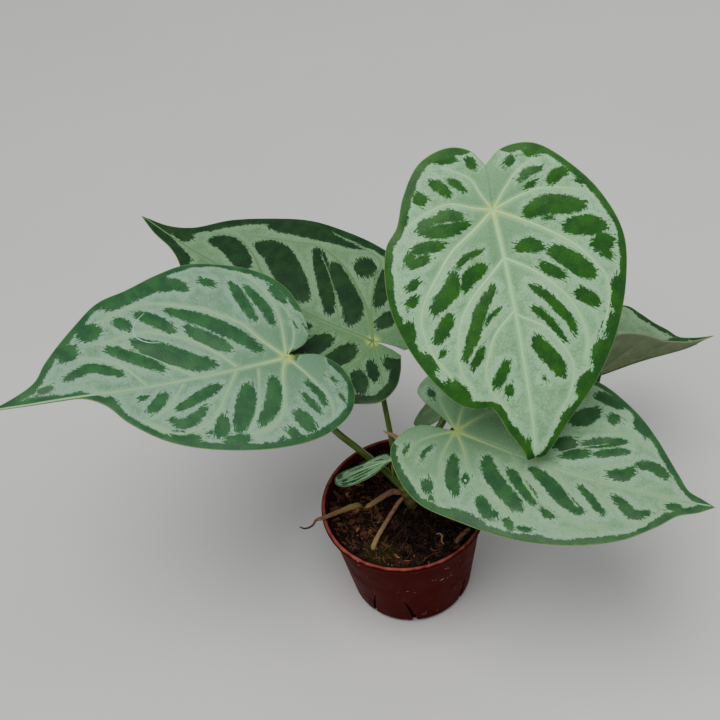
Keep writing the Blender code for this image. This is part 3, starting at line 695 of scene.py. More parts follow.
def half_edge(leaf, side, spacing):
    """The edge of one flat half blade: down the notch, round the margin to the tip, and back along the midrib."""
    margin = margin_line(leaf, side)
    x, y = margin[0]
    turn = np.array([0.55 * x, 0.45 * y - 0.03 * abs(x)])
    s = np.linspace(0, 1, NOTCH_STEPS, endpoint=False)[:, None]
    notch = 2 * s * (1 - s) * turn + s ** 2 * margin[0]
    climb = np.arange(leaf["length"] - spacing, spacing / 2, -spacing)
    lean = leaf["tip"] * np.clip((climb / leaf["length"] - LEAN_FROM) / LEAN_OVER, 0, 1) ** 1.5
    return np.concatenate([notch, margin, np.stack([lean, climb], axis=-1)])


def are_inside(places, edge):
    """Which flat places lie inside a closed edge: a line to the side of them crosses it an odd number of times."""
    within = np.zeros(len(places), bool)
    for start, end in zip(edge, np.roll(edge, -1, axis=0)):
        crosses = (start[1] > places[:, 1]) != (end[1] > places[:, 1])
        share = (places[:, 1] - start[1]) / (end[1] - start[1] + 1e-12)
        within ^= crosses & (places[:, 0] < start[0] + share * (end[0] - start[0]))
    return within


ROW_SPACING = 0.866


def places_inside(edge, spacing):
    """Evenly spaced flat places inside a closed edge, every second row set off by half a step."""
    low, high = edge.min(axis=0), edge.max(axis=0)
    lattice = np.stack(np.meshgrid(np.arange(low[0], high[0], spacing),
                                   np.arange(low[1], high[1], ROW_SPACING * spacing)), axis=-1)
    lattice[1::2, :, 0] += spacing / 2
    places = lattice.reshape(-1, 2)
    return places[are_inside(places, edge)]


# Further than any distance on a blade, in mm
FAR = 99.0


def depth_in_line(places, line, widths):
    """How deep each flat place lies inside a line of changing half width, in mm: less than 0 outside it."""
    depth = np.full(len(places), -FAR)
    for start, end, width, next_width in zip(line, line[1:], widths, widths[1:]):
        run = end - start
        share = np.clip(((places - start) @ run) / max(run @ run, 1e-9), 0, 1)
        away = np.linalg.norm(places - start - share[:, None] * run, axis=1)
        depth = np.maximum(depth, width + (next_width - width) * share - away)
    return depth


# How blunt a blotch's ends are, and how far apart two blotches' streaks are taken from the noise
BLUNTNESS, STREAKS_APART = 0.36, 7.0


def depth_in_blotches(places, blotches):
    """How deep each place lies in the nearest blotch, and its place along, across and among them.

    A blotch is given by its middle line and its half width.
    """
    depth = np.full(len(places), -FAR)
    streak = np.zeros((len(places), 3))
    ends = np.zeros(len(places))
    for number, (*points, width) in enumerate(blotches):
        line = smooth_curve(points, 6)
        share = np.linspace(-1, 1, len(line))
        inside = depth_in_line(places, line, 1.1 * width * (1 - share ** 2) ** BLUNTNESS)
        middle, run = (line[0] + line[-1]) / 2, line[-1] - line[0]
        half = np.linalg.norm(run) / 2
        along = (places - middle) @ run / (2 * half)
        across = (places - middle) @ np.array([-run[1], run[0]]) / (2 * half)
        nearer = inside > depth
        depth = np.where(nearer, inside, depth)
        here = np.stack([along, across, np.full(len(places), STREAKS_APART * number)], axis=-1)
        streak = np.where(nearer[:, None], here, streak)
        ends = np.where(nearer, np.clip(np.abs(along) / half, 0, 1.3) ** 3, ends)
    return depth, streak, ends


def distance_from_veins(places, veins):
    """Distance of each flat place from the nearest vein, in mm: thin veins count as a little further away."""
    broadest = max(vein[-1] for vein in veins)
    distance = np.full(len(places), FAR)
    for *points, width in veins:
        line = smooth_curve(points, 6)
        thinness = 2.0 * max(0.0, 0.7 * broadest - width)
        distance = np.minimum(distance, thinness - depth_in_line(places, line, np.zeros(len(line))))
    return distance


def ripple(leaf, flat):
    """Slight waves of the blade, in mm: none at the petiole or the tip."""
    x, y = flat[..., 0], flat[..., 1]
    fade = np.clip(np.hypot(x, y) / 40, 0, 1) * np.clip((leaf["length"] - y) / 18, 0, 1)
    return fade * (0.3 * np.sin(x / 7.3 + y / 13.0) + 0.25 * np.sin(y / 8.1 - x / 15.0 + 1.3) - 0.55)


def face_normals(leaf, flat):
    """Unit normals out of the bent blade's upper face."""
    nudge = 0.05
    across = bend_blade(leaf, flat + (nudge, 0)) - bend_blade(leaf, flat - (nudge, 0))
    ahead = bend_blade(leaf, flat + (0, nudge)) - bend_blade(leaf, flat - (0, nudge))
    normal = np.cross(across, ahead)
    return normal / np.linalg.norm(normal, axis=-1)[..., None]


# How the blade's skin swells and thins, in mm: it rises away from the veins and the margin, drops at its edge,
# and is thicker at the keel
QUILT_REACH, MARGIN_REACH = 4.5, 5
EDGE_DROP, EDGE_REACH = 0.14, 0.4
KEEL_REACH = 1.3


def make_blade(name, leaf, blotches, veins, materials, spacing=0.85, magnify=1.0, puff=0.8, thin=0.5, rib=1.4):
    """The blade's face, quilted up between its veins, its back with the midrib's keel, and its soft edge.

    It is puffed up by that many mm between the veins, and is thin mm thick, and rib mm more at the midrib.
    Distances are kept on it magnified, so that a small leaf takes the pattern of a large one.
    """
    flats, triangles, count = [], [], 0
    for side in ("right", "left"):
        edge = half_edge(leaf, side, spacing)
        ring = np.vstack([edge, edge[:1]])
        fill = places_inside(edge, spacing)
        clear_of_edge = 0.45 * spacing
        fill = fill[depth_in_line(fill, ring, np.zeros(len(ring))) < -clear_of_edge]
        corners = [Vector(place) for place in np.concatenate([edge, fill]).tolist()]
        found = delaunay_2d_cdt(corners, [], [list(range(len(edge)))], 1, 0.0001, False)
        flats.append(np.array([tuple(place) for place in found[0]]))
        joined = np.array(found[2])
        joined = joined[are_inside(flats[-1][joined].mean(axis=1), edge)]
        triangles.append(joined + count)
        count += len(found[0])
    _, first, index = np.unique(np.round(np.concatenate(flats) * 100).astype(int), axis=0, return_index=True,
                                return_inverse=True)
    flat = np.concatenate(flats)[first]
    tops = index.reshape(-1)[np.concatenate(triangles)]
    one, two = flat[tops[:, 1]] - flat[tops[:, 0]], flat[tops[:, 2]] - flat[tops[:, 0]]
    turned = one[:, 0] * two[:, 1] - one[:, 1] * two[:, 0]
    tops = np.where(turned[:, None] < 0, tops[:, ::-1], tops)[np.abs(turned) > 1e-6]
    sides = np.stack([tops, np.roll(tops, -1, axis=1)], axis=-1).reshape(-1, 2)
    _, which, uses = np.unique(np.sort(sides, axis=1), axis=0, return_inverse=True, return_counts=True)
    rim = sides[uses[which.reshape(-1)] == 1]

    from_margin = np.full(len(flat), FAR)
    for side in ("right", "left"):
        outline = margin_line(leaf, side)
        from_margin = np.minimum(from_margin, -depth_in_line(flat, outline, np.zeros(len(outline))))
    from_veins = distance_from_veins(flat, veins) * magnify
    from_midrib = distance_from_veins(flat, veins[:1]) * magnify
    from_rim = np.clip(from_margin * magnify / MARGIN_REACH, 0, 1)
    quilt = puff * (1 - np.exp(-(from_veins / QUILT_REACH) ** 2)) * from_rim
    soft_edge = EDGE_DROP * np.exp(-(from_margin / EDGE_REACH) ** 2)
    taper = 1 - np.clip(flat[:, 1], 0, None) / leaf["length"]
    thickness = thin + rib * taper * np.exp(-(from_midrib / KEEL_REACH) ** 2)
    normals = face_normals(leaf, flat)
    face = bend_blade(leaf, flat) + (quilt + ripple(leaf, flat) / magnify - soft_edge)[:, None] * normals
    back = face - (thickness - 2 * soft_edge)[:, None] * normals
    n = len(flat)
    faces = tops.tolist() + (tops[:, ::-1] + n).tolist() + [(b, a, a + n, b + n) for a, b in rim.tolist()]
    blade = to_mesh_object(name, np.concatenate([face, back]), faces, materials[0])
    for material in materials[1:]:
        blade.data.materials.append(material)
    finish_of = np.repeat([0, 1, 2], [len(tops), len(tops), len(rim)]).astype(np.int32)
    blade.data.polygons.foreach_set("material_index", finish_of)
    bare = np.zeros(len(flat))
    for x, y, reach in leaf["bare"]:
        bare = np.maximum(bare, 1 - np.hypot(flat[:, 0] - x, flat[:, 1] - y) / reach)
    depth, streak, ends = depth_in_blotches(flat, blotches)
    petiole = np.hypot(flat[:, 0] - veins[0][0][0], flat[:, 1])
    tones = {"margin": from_margin * magnify, "bare": bare, "vein": from_veins, "blotch": depth * magnify,
             "petiole": petiole * magnify, "ends": ends}
    for label, values in tones.items():
        add_tones(blade.data, label, np.tile(values, 2))
    add_places(blade.data, "streak", np.tile(streak * magnify, (2, 1)))
    laid_flat = blade.data.uv_layers.new(name="laid flat")
    which = np.empty(len(blade.data.loops), int)
    blade.data.loops.foreach_get("vertex_index", which)
    laid_flat.data.foreach_set("uv", (flat[which % n] * magnify).astype(np.float32).ravel())
    return blade


# A vein's ridges: how far their feet are sunk in each side of the blade, how high they stand for their half width
# and beyond it, and how much a vein narrows on its way out
SUNK_IN_FACE, SUNK_IN_BACK = 0.06, 0.12
FACE_HEIGHT, BACK_HEIGHT, LEAST_HEIGHT = 0.26, 0.62, 0.12
VEIN_NARROWING = 0.62


def make_veins(name, leaf, veins, material, magnify=1.0, thin=0.5, rib=1.4):
    """The raised veins: low rounded ridges on the blade's face, and rounder ones on its back."""
    places, faces, from_petiole = [], [], []
    arc = np.linspace(0, math.pi, 6)
    count = len(arc)
    for number, (*points, width) in enumerate(veins):
        line = smooth_curve(points, 10)
        share = np.linspace(0, 1, len(line))
        normals = face_normals(leaf, line)
        middle = bend_blade(leaf, line) + (ripple(leaf, line) / magnify)[:, None] * normals
        ahead = np.gradient(middle, axis=0)
        side = np.cross(ahead, normals)
        side /= np.linalg.norm(side, axis=1)[:, None]
        half = width * (1 - VEIN_NARROWING * share)
        taper = 1 - np.clip(line[:, 1], 0, None) / leaf["length"]
        below = thin + rib * taper * (number == 0)
        for way, height, start in ((1, FACE_HEIGHT, np.full(len(line), -SUNK_IN_FACE)),
                                   (-1, BACK_HEIGHT, below - SUNK_IN_BACK)):
            first = len(places)
            for i in range(len(line)):
                for a in arc:
                    places.append(middle[i] + math.cos(a) * half[i] * side[i]
                                  + way * (start[i] + math.sin(a) * (half[i] * height + LEAST_HEIGHT)) * normals[i])
                    from_petiole.append(math.hypot(line[i][0] - veins[0][0][0], line[i][1]) * magnify)
            for start_ring in range(first, len(places) - count, count):
                for k in range(count):
                    m = (k + 1) % count
                    quad = (start_ring + k, start_ring + m, start_ring + count + m, start_ring + count + k)
                    faces.append(quad if way < 0 else quad[::-1])
            ends = (tuple(first + k for k in range(count)),
                    tuple(first + (len(line) - 1) * count + k for k in reversed(range(count))))
            faces.extend(ends if way > 0 else tuple(end[::-1] for end in ends))
    ridges = to_mesh_object(name, places, faces, material)
    add_tones(ridges.data, "petiole", from_petiole)
    return ridges


# The edge between silver and green is torn: fine teeth and stray flecks, drawn out along each blotch
torn_edge, given, leave = start_group(
    "torn edge", (("Place", "Vector"), ("Streak", "Vector"), ("Depth", "Float"), ("Reach", "Float"), ("Ends", "Float")),
    (("Mask", "Float"),))
coarse = maths(torn_edge, "SUBTRACT", cloudy(torn_edge, given["Place"], 0.45, 2.0), 0.5)
fine = maths(torn_edge, "SUBTRACT", cloudy(torn_edge, given["Place"], 1.5, 3.0, 0.7), 0.5)
drawn = place_node(torn_edge, "ShaderNodeMapping", {"Vector": given["Streak"], "Scale": (0.28, 1.25, 1)}).outputs[0]
streaks = maths(torn_edge, "SUBTRACT", cloudy(torn_edge, drawn, 1.0, 3.0, 0.65), 0.5)
pull = maths(torn_edge, "MULTIPLY_ADD", given["Ends"], 7.0, 2.4)
shift = maths(torn_edge, "ADD", maths(torn_edge, "MULTIPLY", coarse, 2.6), maths(torn_edge, "MULTIPLY", fine, 3.4))
shift = maths(torn_edge, "MULTIPLY_ADD", streaks, pull, shift)
moved = maths(torn_edge, "MULTIPLY_ADD", shift, given["Reach"], given["Depth"])
torn_edge.links.new(step_between(torn_edge, moved, -0.35, 0.35), leave.inputs["Mask"])


def netted(tree, place, scale, width, strength=1.0):
    """The net of the finest veins: that strong on the lines, and 0 away from them."""
    cells = place_node(tree, "ShaderNodeTexVoronoi", {"Vector": place, "Scale": scale}, feature="DISTANCE_TO_EDGE")
    return step_between(tree, cells.outputs["Distance"], 0.0, width, strength, 0.0)


# The colours of a blade's face, from its distances to the margin, the veins, the blotches and the petiole
FACE_TONES = ("Ends", "Margin", "Blotch", "Vein", "Petiole", "Bare")
FACE_COLOURS = ("Silver", "Dull Silver", "Green", "Deep Green", "Pale")
group, given, leave = start_group(
    "leaf face", [("Place", "Vector"), ("Streak", "Vector"), ("Band", "Float")]
    + [(label, "Float") for label in FACE_TONES] + [(label, "Color") for label in FACE_COLOURS],
    (("Colour", "Color"), ("Green Mask", "Float"), ("Relief", "Float")))
leaf_face = group
uneven = maths(group, "MULTIPLY_ADD", cloudy(group, given["Place"], 0.075, 2.0), 5.0, -2.5)
band_depth = maths(group, "SUBTRACT", maths(group, "ADD", given["Band"], uneven), given["Margin"])
band_depth = maths(group, "MULTIPLY_ADD", given["Bare"], -14.0, band_depth)
in_band = use_group(group, torn_edge, {"Place": given["Place"], "Streak": given["Place"], "Depth": band_depth,
                                       "Reach": 0.75, "Ends": 0.0})["Mask"]
beside_vein = maths(group, "MULTIPLY_ADD", given["Vein"], 1.1, -0.9)
blotch_depth = maths(group, "MINIMUM", given["Blotch"], beside_vein)
in_blotch = use_group(group, torn_edge, {"Place": given["Place"], "Streak": given["Streak"], "Depth": blotch_depth,
                                         "Reach": 1.0, "Ends": given["Ends"]})["Mask"]
green_mask = maths(group, "MAXIMUM", in_band, in_blotch)
netting = netted(group, given["Place"], 0.55, 0.16)
grain = maths(group, "MULTIPLY", cloudy(group, given["Place"], 0.85, 5.0, 0.8), 0.6)
silver_tone = maths(group, "MULTIPLY_ADD", cloudy(group, given["Place"], 0.16, 4.0, 0.6), 0.4, grain)
beside_green = step_between(group, maths(group, "MAXIMUM", given["Blotch"], band_depth), -5.0, -0.8, 0.0, 0.13)
near_petiole = step_between(group, given["Petiole"], 8.0, 48.0, -0.12, 0.02)
silver_tone = maths(group, "ADD", silver_tone, maths(group, "ADD", beside_green, near_petiole))
silver = tint_between(group, silver_tone, 0.42, 0.66, given["Dull Silver"], given["Silver"])
silver = mix_colours(group, maths(group, "MULTIPLY", netting, 0.16), silver, given["Green"])
flecks = step_between(group, cloudy(group, given["Place"], 1.7, 3.0), 0.55, 0.72, 0.0, 0.36)
silver = mix_colours(group, flecks, silver, given["Green"])
green = tint_between(group, cloudy(group, given["Place"], 0.12), 0.35, 0.65, given["Deep Green"], given["Green"])
pale_flecks = step_between(group, cloudy(group, given["Place"], 1.3, 3.0, 0.7), 0.57, 0.74, 0.0, 0.32)
green = mix_colours(group, pale_flecks, green, given["Dull Silver"])
near_vein = step_between(group, given["Vein"], 0.3, 2.6, 0.7, 0.0)
silver = mix_colours(group, near_vein, silver, given["Pale"])
face_colour = mix_colours(group, green_mask, silver, green)
at_petiole = step_between(group, given["Petiole"], 0.8, 5.5, 0.9, 0.0)
face_colour = mix_colours(group, at_petiole, face_colour, (0.50, 0.64, 0.11, 1))
at_edge = step_between(group, given["Margin"], 0.15, 0.55, 0.75, 0.0)
face_colour = mix_colours(group, at_edge, face_colour, (0.20, 0.36, 0.10, 1))
pits = cloudy(group, given["Place"], 0.9, 4.0, 0.6)
height = maths(group, "ADD", maths(group, "MULTIPLY", pits, 0.6), maths(group, "MULTIPLY", netting, -0.45))
group.links.new(face_colour, leave.inputs["Colour"])
group.links.new(green_mask, leave.inputs["Green Mask"])
group.links.new(height, leave.inputs["Relief"])


def leaf_face_material(name, band, *colours):
    """A face with a green margin that many mm wide, in the colours that FACE_COLOURS lists."""
    material, tree, shader = new_material(name, Specular_IOR_Level=0.28)
    laid_flat = place_node(tree, "ShaderNodeUVMap", uv_map="laid flat").outputs[0]
    values = {"Place": laid_flat, "Streak": read_places(tree, "streak"), "Band": band}
    values.update((label, read_tone(tree, label.lower())) for label in FACE_TONES)
    values.update(zip(FACE_COLOURS, colours))
    face = use_group(tree, leaf_face, values)
    tree.links.new(step_between(tree, face["Green Mask"], 0.0, 1.0, 0.50, 0.42), shader.inputs["Roughness"])
    paint(tree, shader, face["Colour"], face["Relief"], strength=0.35, depth=0.0003)
    return material


leaf_back, tree, shader = new_material("leaf back", Roughness=0.5)
laid_flat = place_node(tree, "ShaderNodeUVMap", uv_map="laid flat").outputs[0]
cloud = cloudy(tree, laid_flat, 0.11, 4.0)
back_colour = tint_between(tree, cloud, 0.35, 0.65, (0.070, 0.112, 0.026, 1), (0.105, 0.160, 0.040, 1))
netting = netted(tree, laid_flat, 0.32, 0.10, strength=0.28)
back_colour = mix_colours(tree, netting, back_colour, (0.20, 0.27, 0.09, 1))
at_margin = step_between(tree, read_tone(tree, "margin"), 0.2, 1.6, 0.7, 0.0)
back_colour = mix_colours(tree, at_margin, back_colour, (0.26, 0.36, 0.17, 1))
paint(tree, shader, back_colour, netting, strength=0.3, depth=0.0004)

leaf_edge, tree, shader = new_material("leaf edge", Roughness=0.5)
edge_tone = cloudy(tree, object_place(tree), 120.0)
paint(tree, shader, mix_colours(tree, edge_tone, (0.16, 0.27, 0.10, 1), (0.27, 0.39, 0.19, 1)))


def vein_material(name, near, far):
    """Veins of one colour near the petiole and another far from it, with faint green fibres."""
    material, tree, shader = new_material(name, Roughness=0.42)
    colour = tint_between(tree, read_tone(tree, "petiole"), 1.0, 24.0, near, far)
    fibrous = maths(tree, "MULTIPLY", cloudy(tree, object_place(tree), 700.0), 0.20)
    paint(tree, shader, mix_colours(tree, fibrous, colour, (0.22, 0.42, 0.16, 1)))
    return material


silver_veins = vein_material("silver leaf veins", (0.53, 0.83, 0.27, 1), (0.46, 0.86, 0.37, 1))
dark_veins = vein_material("dark leaf veins", (0.125, 0.235, 0.055, 1), (0.105, 0.215, 0.085, 1))
left_veins = vein_material("left leaf veins", (0.42, 0.62, 0.20, 1), (0.30, 0.52, 0.26, 1))
right_veins = vein_material("right leaf veins", (0.42, 0.62, 0.18, 1), (0.25, 0.44, 0.21, 1))

# What most of the blades share. Angles are in degrees, the rest in mm: "fold" and "cup" are for the right and left
# half, "fold_more" is what the outer part adds, and "bare" lists places (x, y, reach) without a green margin.
HABIT = {"lobe_arch": 10, "fold": (6, 6), "fold_more": (0, 0), "cup": (14, 14), "tip": 0, "bare": ()}
FRONT_LEAF = HABIT | {
    "junction": (59.4, 44.1, 227),
    "heading": -81, "rise": -43, "roll": 1,
    "length": 129, "half_width": 58.5,
    "arch": 13, "droop": 150, "droop_from": 0.892,
    "sway": 6.6,
    "bare": ((-2, -21, 13),),
    "right": ((-2.0, -21.7), (3, -30), (13.5, -34), (29, -29.8), (40.3, -16.5), (47, -3), (54, 5),
              (58.8, 24.3), (57.8, 44.2), (49, 69), (35.5, 88.4), (26, 93.2), (19.2, 94), (12.3, 107.5),
              (8, 114.7), (5.6, 119), (4.6, 123), (2.6, 127)),
    "left": ((-2.15, -21.9), (-11.7, -27.8), (-27.2, -26.6), (-43.2, -12), (-54, 4), (-60.3, 24.3),
             (-57.3, 44.2), (-48, 68), (-32.7, 90.2), (-17, 107), (-9.6, 116), (-6.6, 119.5),
             (-4.8, 123), (-2.6, 127)),
}
FRONT_BLOTCHES = (
    ((-40, -10), (-34, -9), (-29.5, -6.5), 2.9), ((-46, -2.5), (-42, -5), 1.3),
    ((-28, -13.5), (-21, -13.5), (-15, -10.5), 2.1), ((-24, -8.5), (-17.5, -6.5), 1.6),
    ((-30, -22), (-21, -23.5), 2.5), ((-16, -22), (-11, -19.5), 2.1),
    ((-44, 8), (-34, 5.5), (-24, 3.5), (-14, 5.5), 4.4), ((-27, 9.5), (-23, 10), 1.3),
    ((-51, 20), (-42, 17), (-32, 16), 4.5), ((-53, 27), (-44, 26.5), 4), ((-51, 34), (-47, 30), 2.1),
    ((-41, 40), (-36, 36), (-29, 29), (-22, 24.5), 4.4), ((-19, 23), (-13, 20), (-7, 20), 3.4),
    ((-27, 38.5), (-21, 34), (-16, 30), 2.7), ((-41, 54), (-35, 49), (-31, 46.5), 3.3),
    ((-26.5, 66.5), (-25.5, 59.5), (-20.5, 51.5), (-14.5, 43.5), (-8, 38), 2.3),
    ((-22, 69), (-17, 59.5), (-12, 52.5), (-7.5, 48.5), 1.9), ((-18, 84), (-15, 77), (-10, 70), (-7, 63), 3.8),
    ((-9, 85), (-8, 82), 0.8), ((-53, 44), (-50, 58), 4.2), ((-47, 62), (-43, 68), 4.2),
    ((-40, 72), (-36, 82), 4.7), ((-32, 86), (-25, 93), 4.2), ((-19, 102), (-15, 108), 3.2),
    ((3.5, -22), (6, -26.5), 2.5), ((11, -28), (22, -30), 2.6), ((11, -12), (14, -16), (18, -19), 1.9),
    ((18.5, -12), (22, -16), (26, -20), 2.7), ((31, -12), (35, -15), 2.9), ((15, 0), (22, -2.5), (30, -2), 2.9),
    ((13, 3), (22, 4.5), (30, 3.5), (37, 2), 3.2), ((29, -2), (34, -1), (37, 1.5), 2.5),
    ((27, 11), (35, 10), (43, 10.5), 3), ((35, 15), (41, 16), (46, 17), 2.5), ((43, 11), (46, 16), 2.5),
    ((9, 18), (18, 19), (25, 24), 1.6), ((10, 25), (17, 28), (23, 34), 3.6),
    ((26, 25), (28, 32), (34, 37), (39, 42), 4), ((7, 35), (12, 40), (17, 46), (21, 54), (25, 61), (29, 69), 3),
    ((6, 46), (12, 49), (16, 53), 1.3), ((19, 63), (22, 68), (26, 73), 2.3), ((8, 72), (12, 78), (16, 84), 2.8),
    ((9, 84), (10, 89), 2.1), ((31, 44), (36, 51), (41, 57), 3.2), ((37, 61), (40, 64), 1.4),
    ((43, 25), (49, 28), 2.3), ((46, 33), (50, 36), 2.5), ((52, 44), (53, 56), 3.2), ((49, 62), (44, 70), 3.7),
    ((38, 78), (31, 88), 4.4), ((3.5, 112), (4, 118), 1.7),
)
FRONT_VEINS = (
    ((0, 0), (0, 30), (0, 60), (0, 95), (0, 127), 1.15),
    ((0, 0), (9, -3), (20, -7.5), (30, -6.5), (42, -2), 0.65),
    ((0, 0), (11.5, 7.5), (24, 15), (33.5, 25), (41.5, 35), (45.5, 45), (44, 60), (36, 76), 0.85),
    ((0, 23.5), (10.5, 32), (19.5, 39.5), (26.5, 48.5), (30.5, 61), (31, 74), (27, 83), 0.75),
    ((0, 49), (11.5, 58.5), (16, 66.5), (19.5, 76.5), (18, 85), (12, 97), 0.6),
    ((0, 0), (4, -9), (7, -17), (18, -25), 0.5), ((0, 0), (-14, -3.5), (-25, -4.5), (-36, -2), (-45, 1), 0.65),
    ((0, 0), (-15, 9.5), (-25, 16.5), (-35, 25), (-42, 34), (-47.5, 44), (-46, 55), (-41, 66), 0.85),
    ((0, 23.5), (-12, 32), (-21, 41), (-27.5, 50), (-31.5, 61), (-32, 71), (-29, 79), 0.75),
    ((0, 51), (-14, 61), (-20, 70), (-23.5, 80), (-21, 91), (-13, 103), 0.6),
    ((0, 0), (-9, -9.5), (-17, -16), (-26, -19.5), 0.55),
)


def dress_blade(place_name, leaf, blotches, veins, face, vein_skin):
    """Makes one blade and its veins, and lets them stand for the blade's node."""
    blade = make_blade(place_name + "_leaf", leaf, blotches, veins, (face, leaf_back, leaf_edge))
    ridges = make_veins(place_name + "_leaf_veins", leaf, veins, vein_skin)
    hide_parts("blade_" + place_name)
    for piece in (blade, ridges):
        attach(piece, "root")


front_face = leaf_face_material("front leaf face", 3.9, (0.372, 0.668, 0.378, 1), (0.205, 0.430, 0.204, 1),
                                (0.024, 0.128, 0.008, 1), (0.012, 0.082, 0.009, 1), (0.41, 0.69, 0.36, 1))
dress_blade("front", FRONT_LEAF, FRONT_BLOTCHES, FRONT_VEINS, front_face, silver_veins)

# The left blade: the widest one, thin and leathery like the front one. Its stalk holds it nearly level, with its
# long tip bent down to the side.
LEFT_LEAF = HABIT | {
    "junction": (-50, 30, 163),
    "heading": 198, "rise": 10, "roll": -15,
    "length": 147, "half_width": 58,
    "arch": -4, "droop": 16, "droop_from": 0.7,
    "sway": 8.5, "tip": -3,
    "bare": ((9, -14, 15), (-5, -13, 9)),
    "right": ((0.8, -5.7), (2.9, -11.4), (5.1, -14.1), (8.8, -16.3), (16.6, -17.2), (27, -17), (39, -14.5),
              (50, -7), (61, 9), (67.5, 29), (63.5, 51), (56, 70), (50, 86), (37, 101), (18, 118), (9, 124),
              (3, 133)),
    "left": ((-2.2, -5), (-3, -11.5), (-5.1, -17), (-12, -23), (-18.4, -25.6), (-30, -26), (-41, -20),
             (-49, -4), (-50, 20), (-43.5, 48), (-33.5, 71), (-21, 85), (-10, 93), (-4.5, 102), (-3, 113),
             (-3.5, 128)),
}
LEFT_BLOTCHES = (
    ((-35, -19), (-30, -17.5), 1.3), ((-24, -19), (-20, -16.5), 1.1), ((-35, -8.5), (-27, -8), (-18, -3.5), 2),
    ((-38, -4.5), (-31, -2), (-25, 0.5), 1.9), ((-45, 2), (-40, 4), (-34, 6.5), 3.6),
    ((-46.5, 10.5), (-42, 13), 2.5), ((-46, 17), (-46, 19), 0.9),
    ((-12, 11), (-18, 12), (-25, 15), (-30, 19), (-36, 25), 3.8),
    ((-13.5, 24), (-20, 27), (-28, 31), (-37, 36), 4.5), ((-27, 41), (-33, 43), (-37, 46), 3.4),
    ((-34, 48), (-34, 50), 1.3), ((-20, 46.5), (-25, 54), (-27, 60), (-23, 66), 2.7),
    ((-10, 37), (-12, 43), (-15, 51), (-19, 62), 2.9), ((-8, 64), (-13, 69), (-17, 74), 2.9),
    ((-8, 73), (-9, 77), 1.7), ((-9, 89), (-6, 92), 2), ((-5, 96), (-3.5, 104), 0.9), ((-2.5, 114), (-3, 133), 1),
    ((-42, 32), (-40, 44), 2.9), ((-37, 54), (-31, 68), 2.9),
    ((4, 11), (12, 17), (20, 24), (27, 32), (34, 43), (40, 53), 4), ((9, 26), (15, 32), (21, 39), (27, 45), 3.6),
    ((3, 36), (5, 43), (10, 52), (15, 60), (19, 67), (24, 73), 4.7),
    ((5, 61), (10, 68), (14, 74), (19, 82), (22, 87), 3.4),
    ((6, 81), (9, 88), (12, 97), (10, 103), (7, 111), 2.7), ((26, 51), (31, 56), (36, 62), (40, 68), 3.6),
    ((33, 73), (37, 79), 3.4), ((34, 89), (31, 98), 4.7), ((24, 103), (20, 110), 4.5),
    ((4, 116), (2.5, 124), 1.8), ((17, 0), (27, 0.5), (36, 3), (45, 6), 2.9),
    ((22, 8.5), (32, 10), (41, 11.5), (49, 13), 3.1), ((10, -16), (15, -15), 0.7), ((12, -11), (19, -10), 0.7),
    ((29, -11), (35, -9), (42, -7), 2.5), ((49, 22), (54, 28), 2.7), ((50, 37), (55, 43), (53, 51), 3.8),
    ((59, 44), (54, 66), (46, 84), 5.2),
)
LEFT_VEINS = (
    ((-2.4, 0), (-2.4, 25), (-2.4, 80), (-2.8, 120), (-3, 145), 1.1),
    ((-2.4, 0), (-9.5, 4.5), (-25, 9.5), (-33, 13), (-38.5, 20), (-40, 31), 0.75),
    ((-2.5, 26.5), (-13, 34), (-18.5, 38), (-27.5, 45.5), (-31.5, 55.5), (-31, 65), (-22, 78), 0.75),
    ((-2.4, 0), (-12, -5), (-22, -9), (-33, -12), (-40, -11), 0.6),
    ((-5, 16), (-15, 19), (-26, 23), (-38, 31), 0.4), ((-4, 54), (-15, 63), (-20, 71), (-22, 78), 0.5),
    ((-2, 0), (11.5, 9.5), (22.5, 15.5), (31.5, 26.5), (40, 42), (45, 55.5), (45, 68), (41.5, 78), (37.5, 88), 0.8),
    ((-1, 25.5), (9, 33), (18, 42), (23.5, 53), (28, 66.5), (27.5, 77.5), (25, 88.5), 0.75),
    ((-2, 46), (5, 55.5), (11, 63.2), (16, 70.8), (21, 78.5), 0.4),
    ((-2, 71), (11.5, 82), (17, 93), (18, 102), 0.55),
    ((-2, 0), (11.5, -3), (25, -5), (41.5, -2.5), (54, 4), 0.6),
    ((-2, 0), (4, -5.5), (12, -9), (22, -10), (32, -8), 0.4),
)
# Partly painted reflection: the blue in these colours is the sky's sheen on the level blade, laid over its own green
left_face = leaf_face_material("left leaf face", 3.6, (0.265, 0.455, 0.300, 1), (0.145, 0.300, 0.168, 1),
                               (0.032, 0.132, 0.036, 1), (0.018, 0.088, 0.030, 1), (0.29, 0.49, 0.27, 1))
dress_blade("left", LEFT_LEAF, LEFT_BLOTCHES, LEFT_VEINS, left_face, left_veins)

# Water from the last misting: a thin bluish thread lies on this blade, and one drop on the right one
water, tree, shader = new_material("water", Roughness=0.2)
# Painted reflection: these pale bluish colours stand for the sky that the clear water reflects, and their noise is a
# painted glint
glint = cloudy(tree, object_place(tree), 500.0)
paint(tree, shader, mix_colours(tree, glint, (0.34, 0.56, 0.58, 1), (0.62, 0.80, 0.82, 1)))


ABOVE_FACE = 2.0


def lay_water(name, blade_name, leaf, points, radius):
    """A bead of water along a line on a blade's face, thinner towards its ends."""
    line = smooth_curve(points, 6)
    above = (bend_blade(leaf, line) + ABOVE_FACE * face_normals(leaf, line)) * MM
    blade = bpy.data.objects[blade_name]
    route = [tuple(blade.closest_point_on_mesh(Vector(place))[1] / MM) for place in above]
    radii = radius * (0.3 + 0.7 * np.sin(np.linspace(0, math.pi, len(route))) ** 0.5)
    places, faces, _ = strand(route, radii.tolist(), 10, 1)
    bead = to_mesh_object(name, places, faces, water)
    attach(bead, "root")


WATER_THREAD = ((20, 59), (21.5, 66), (26, 71), (32.5, 70.5), (40, 63))
lay_water("water_thread", "left_leaf", LEFT_LEAF, WATER_THREAD, 0.24)

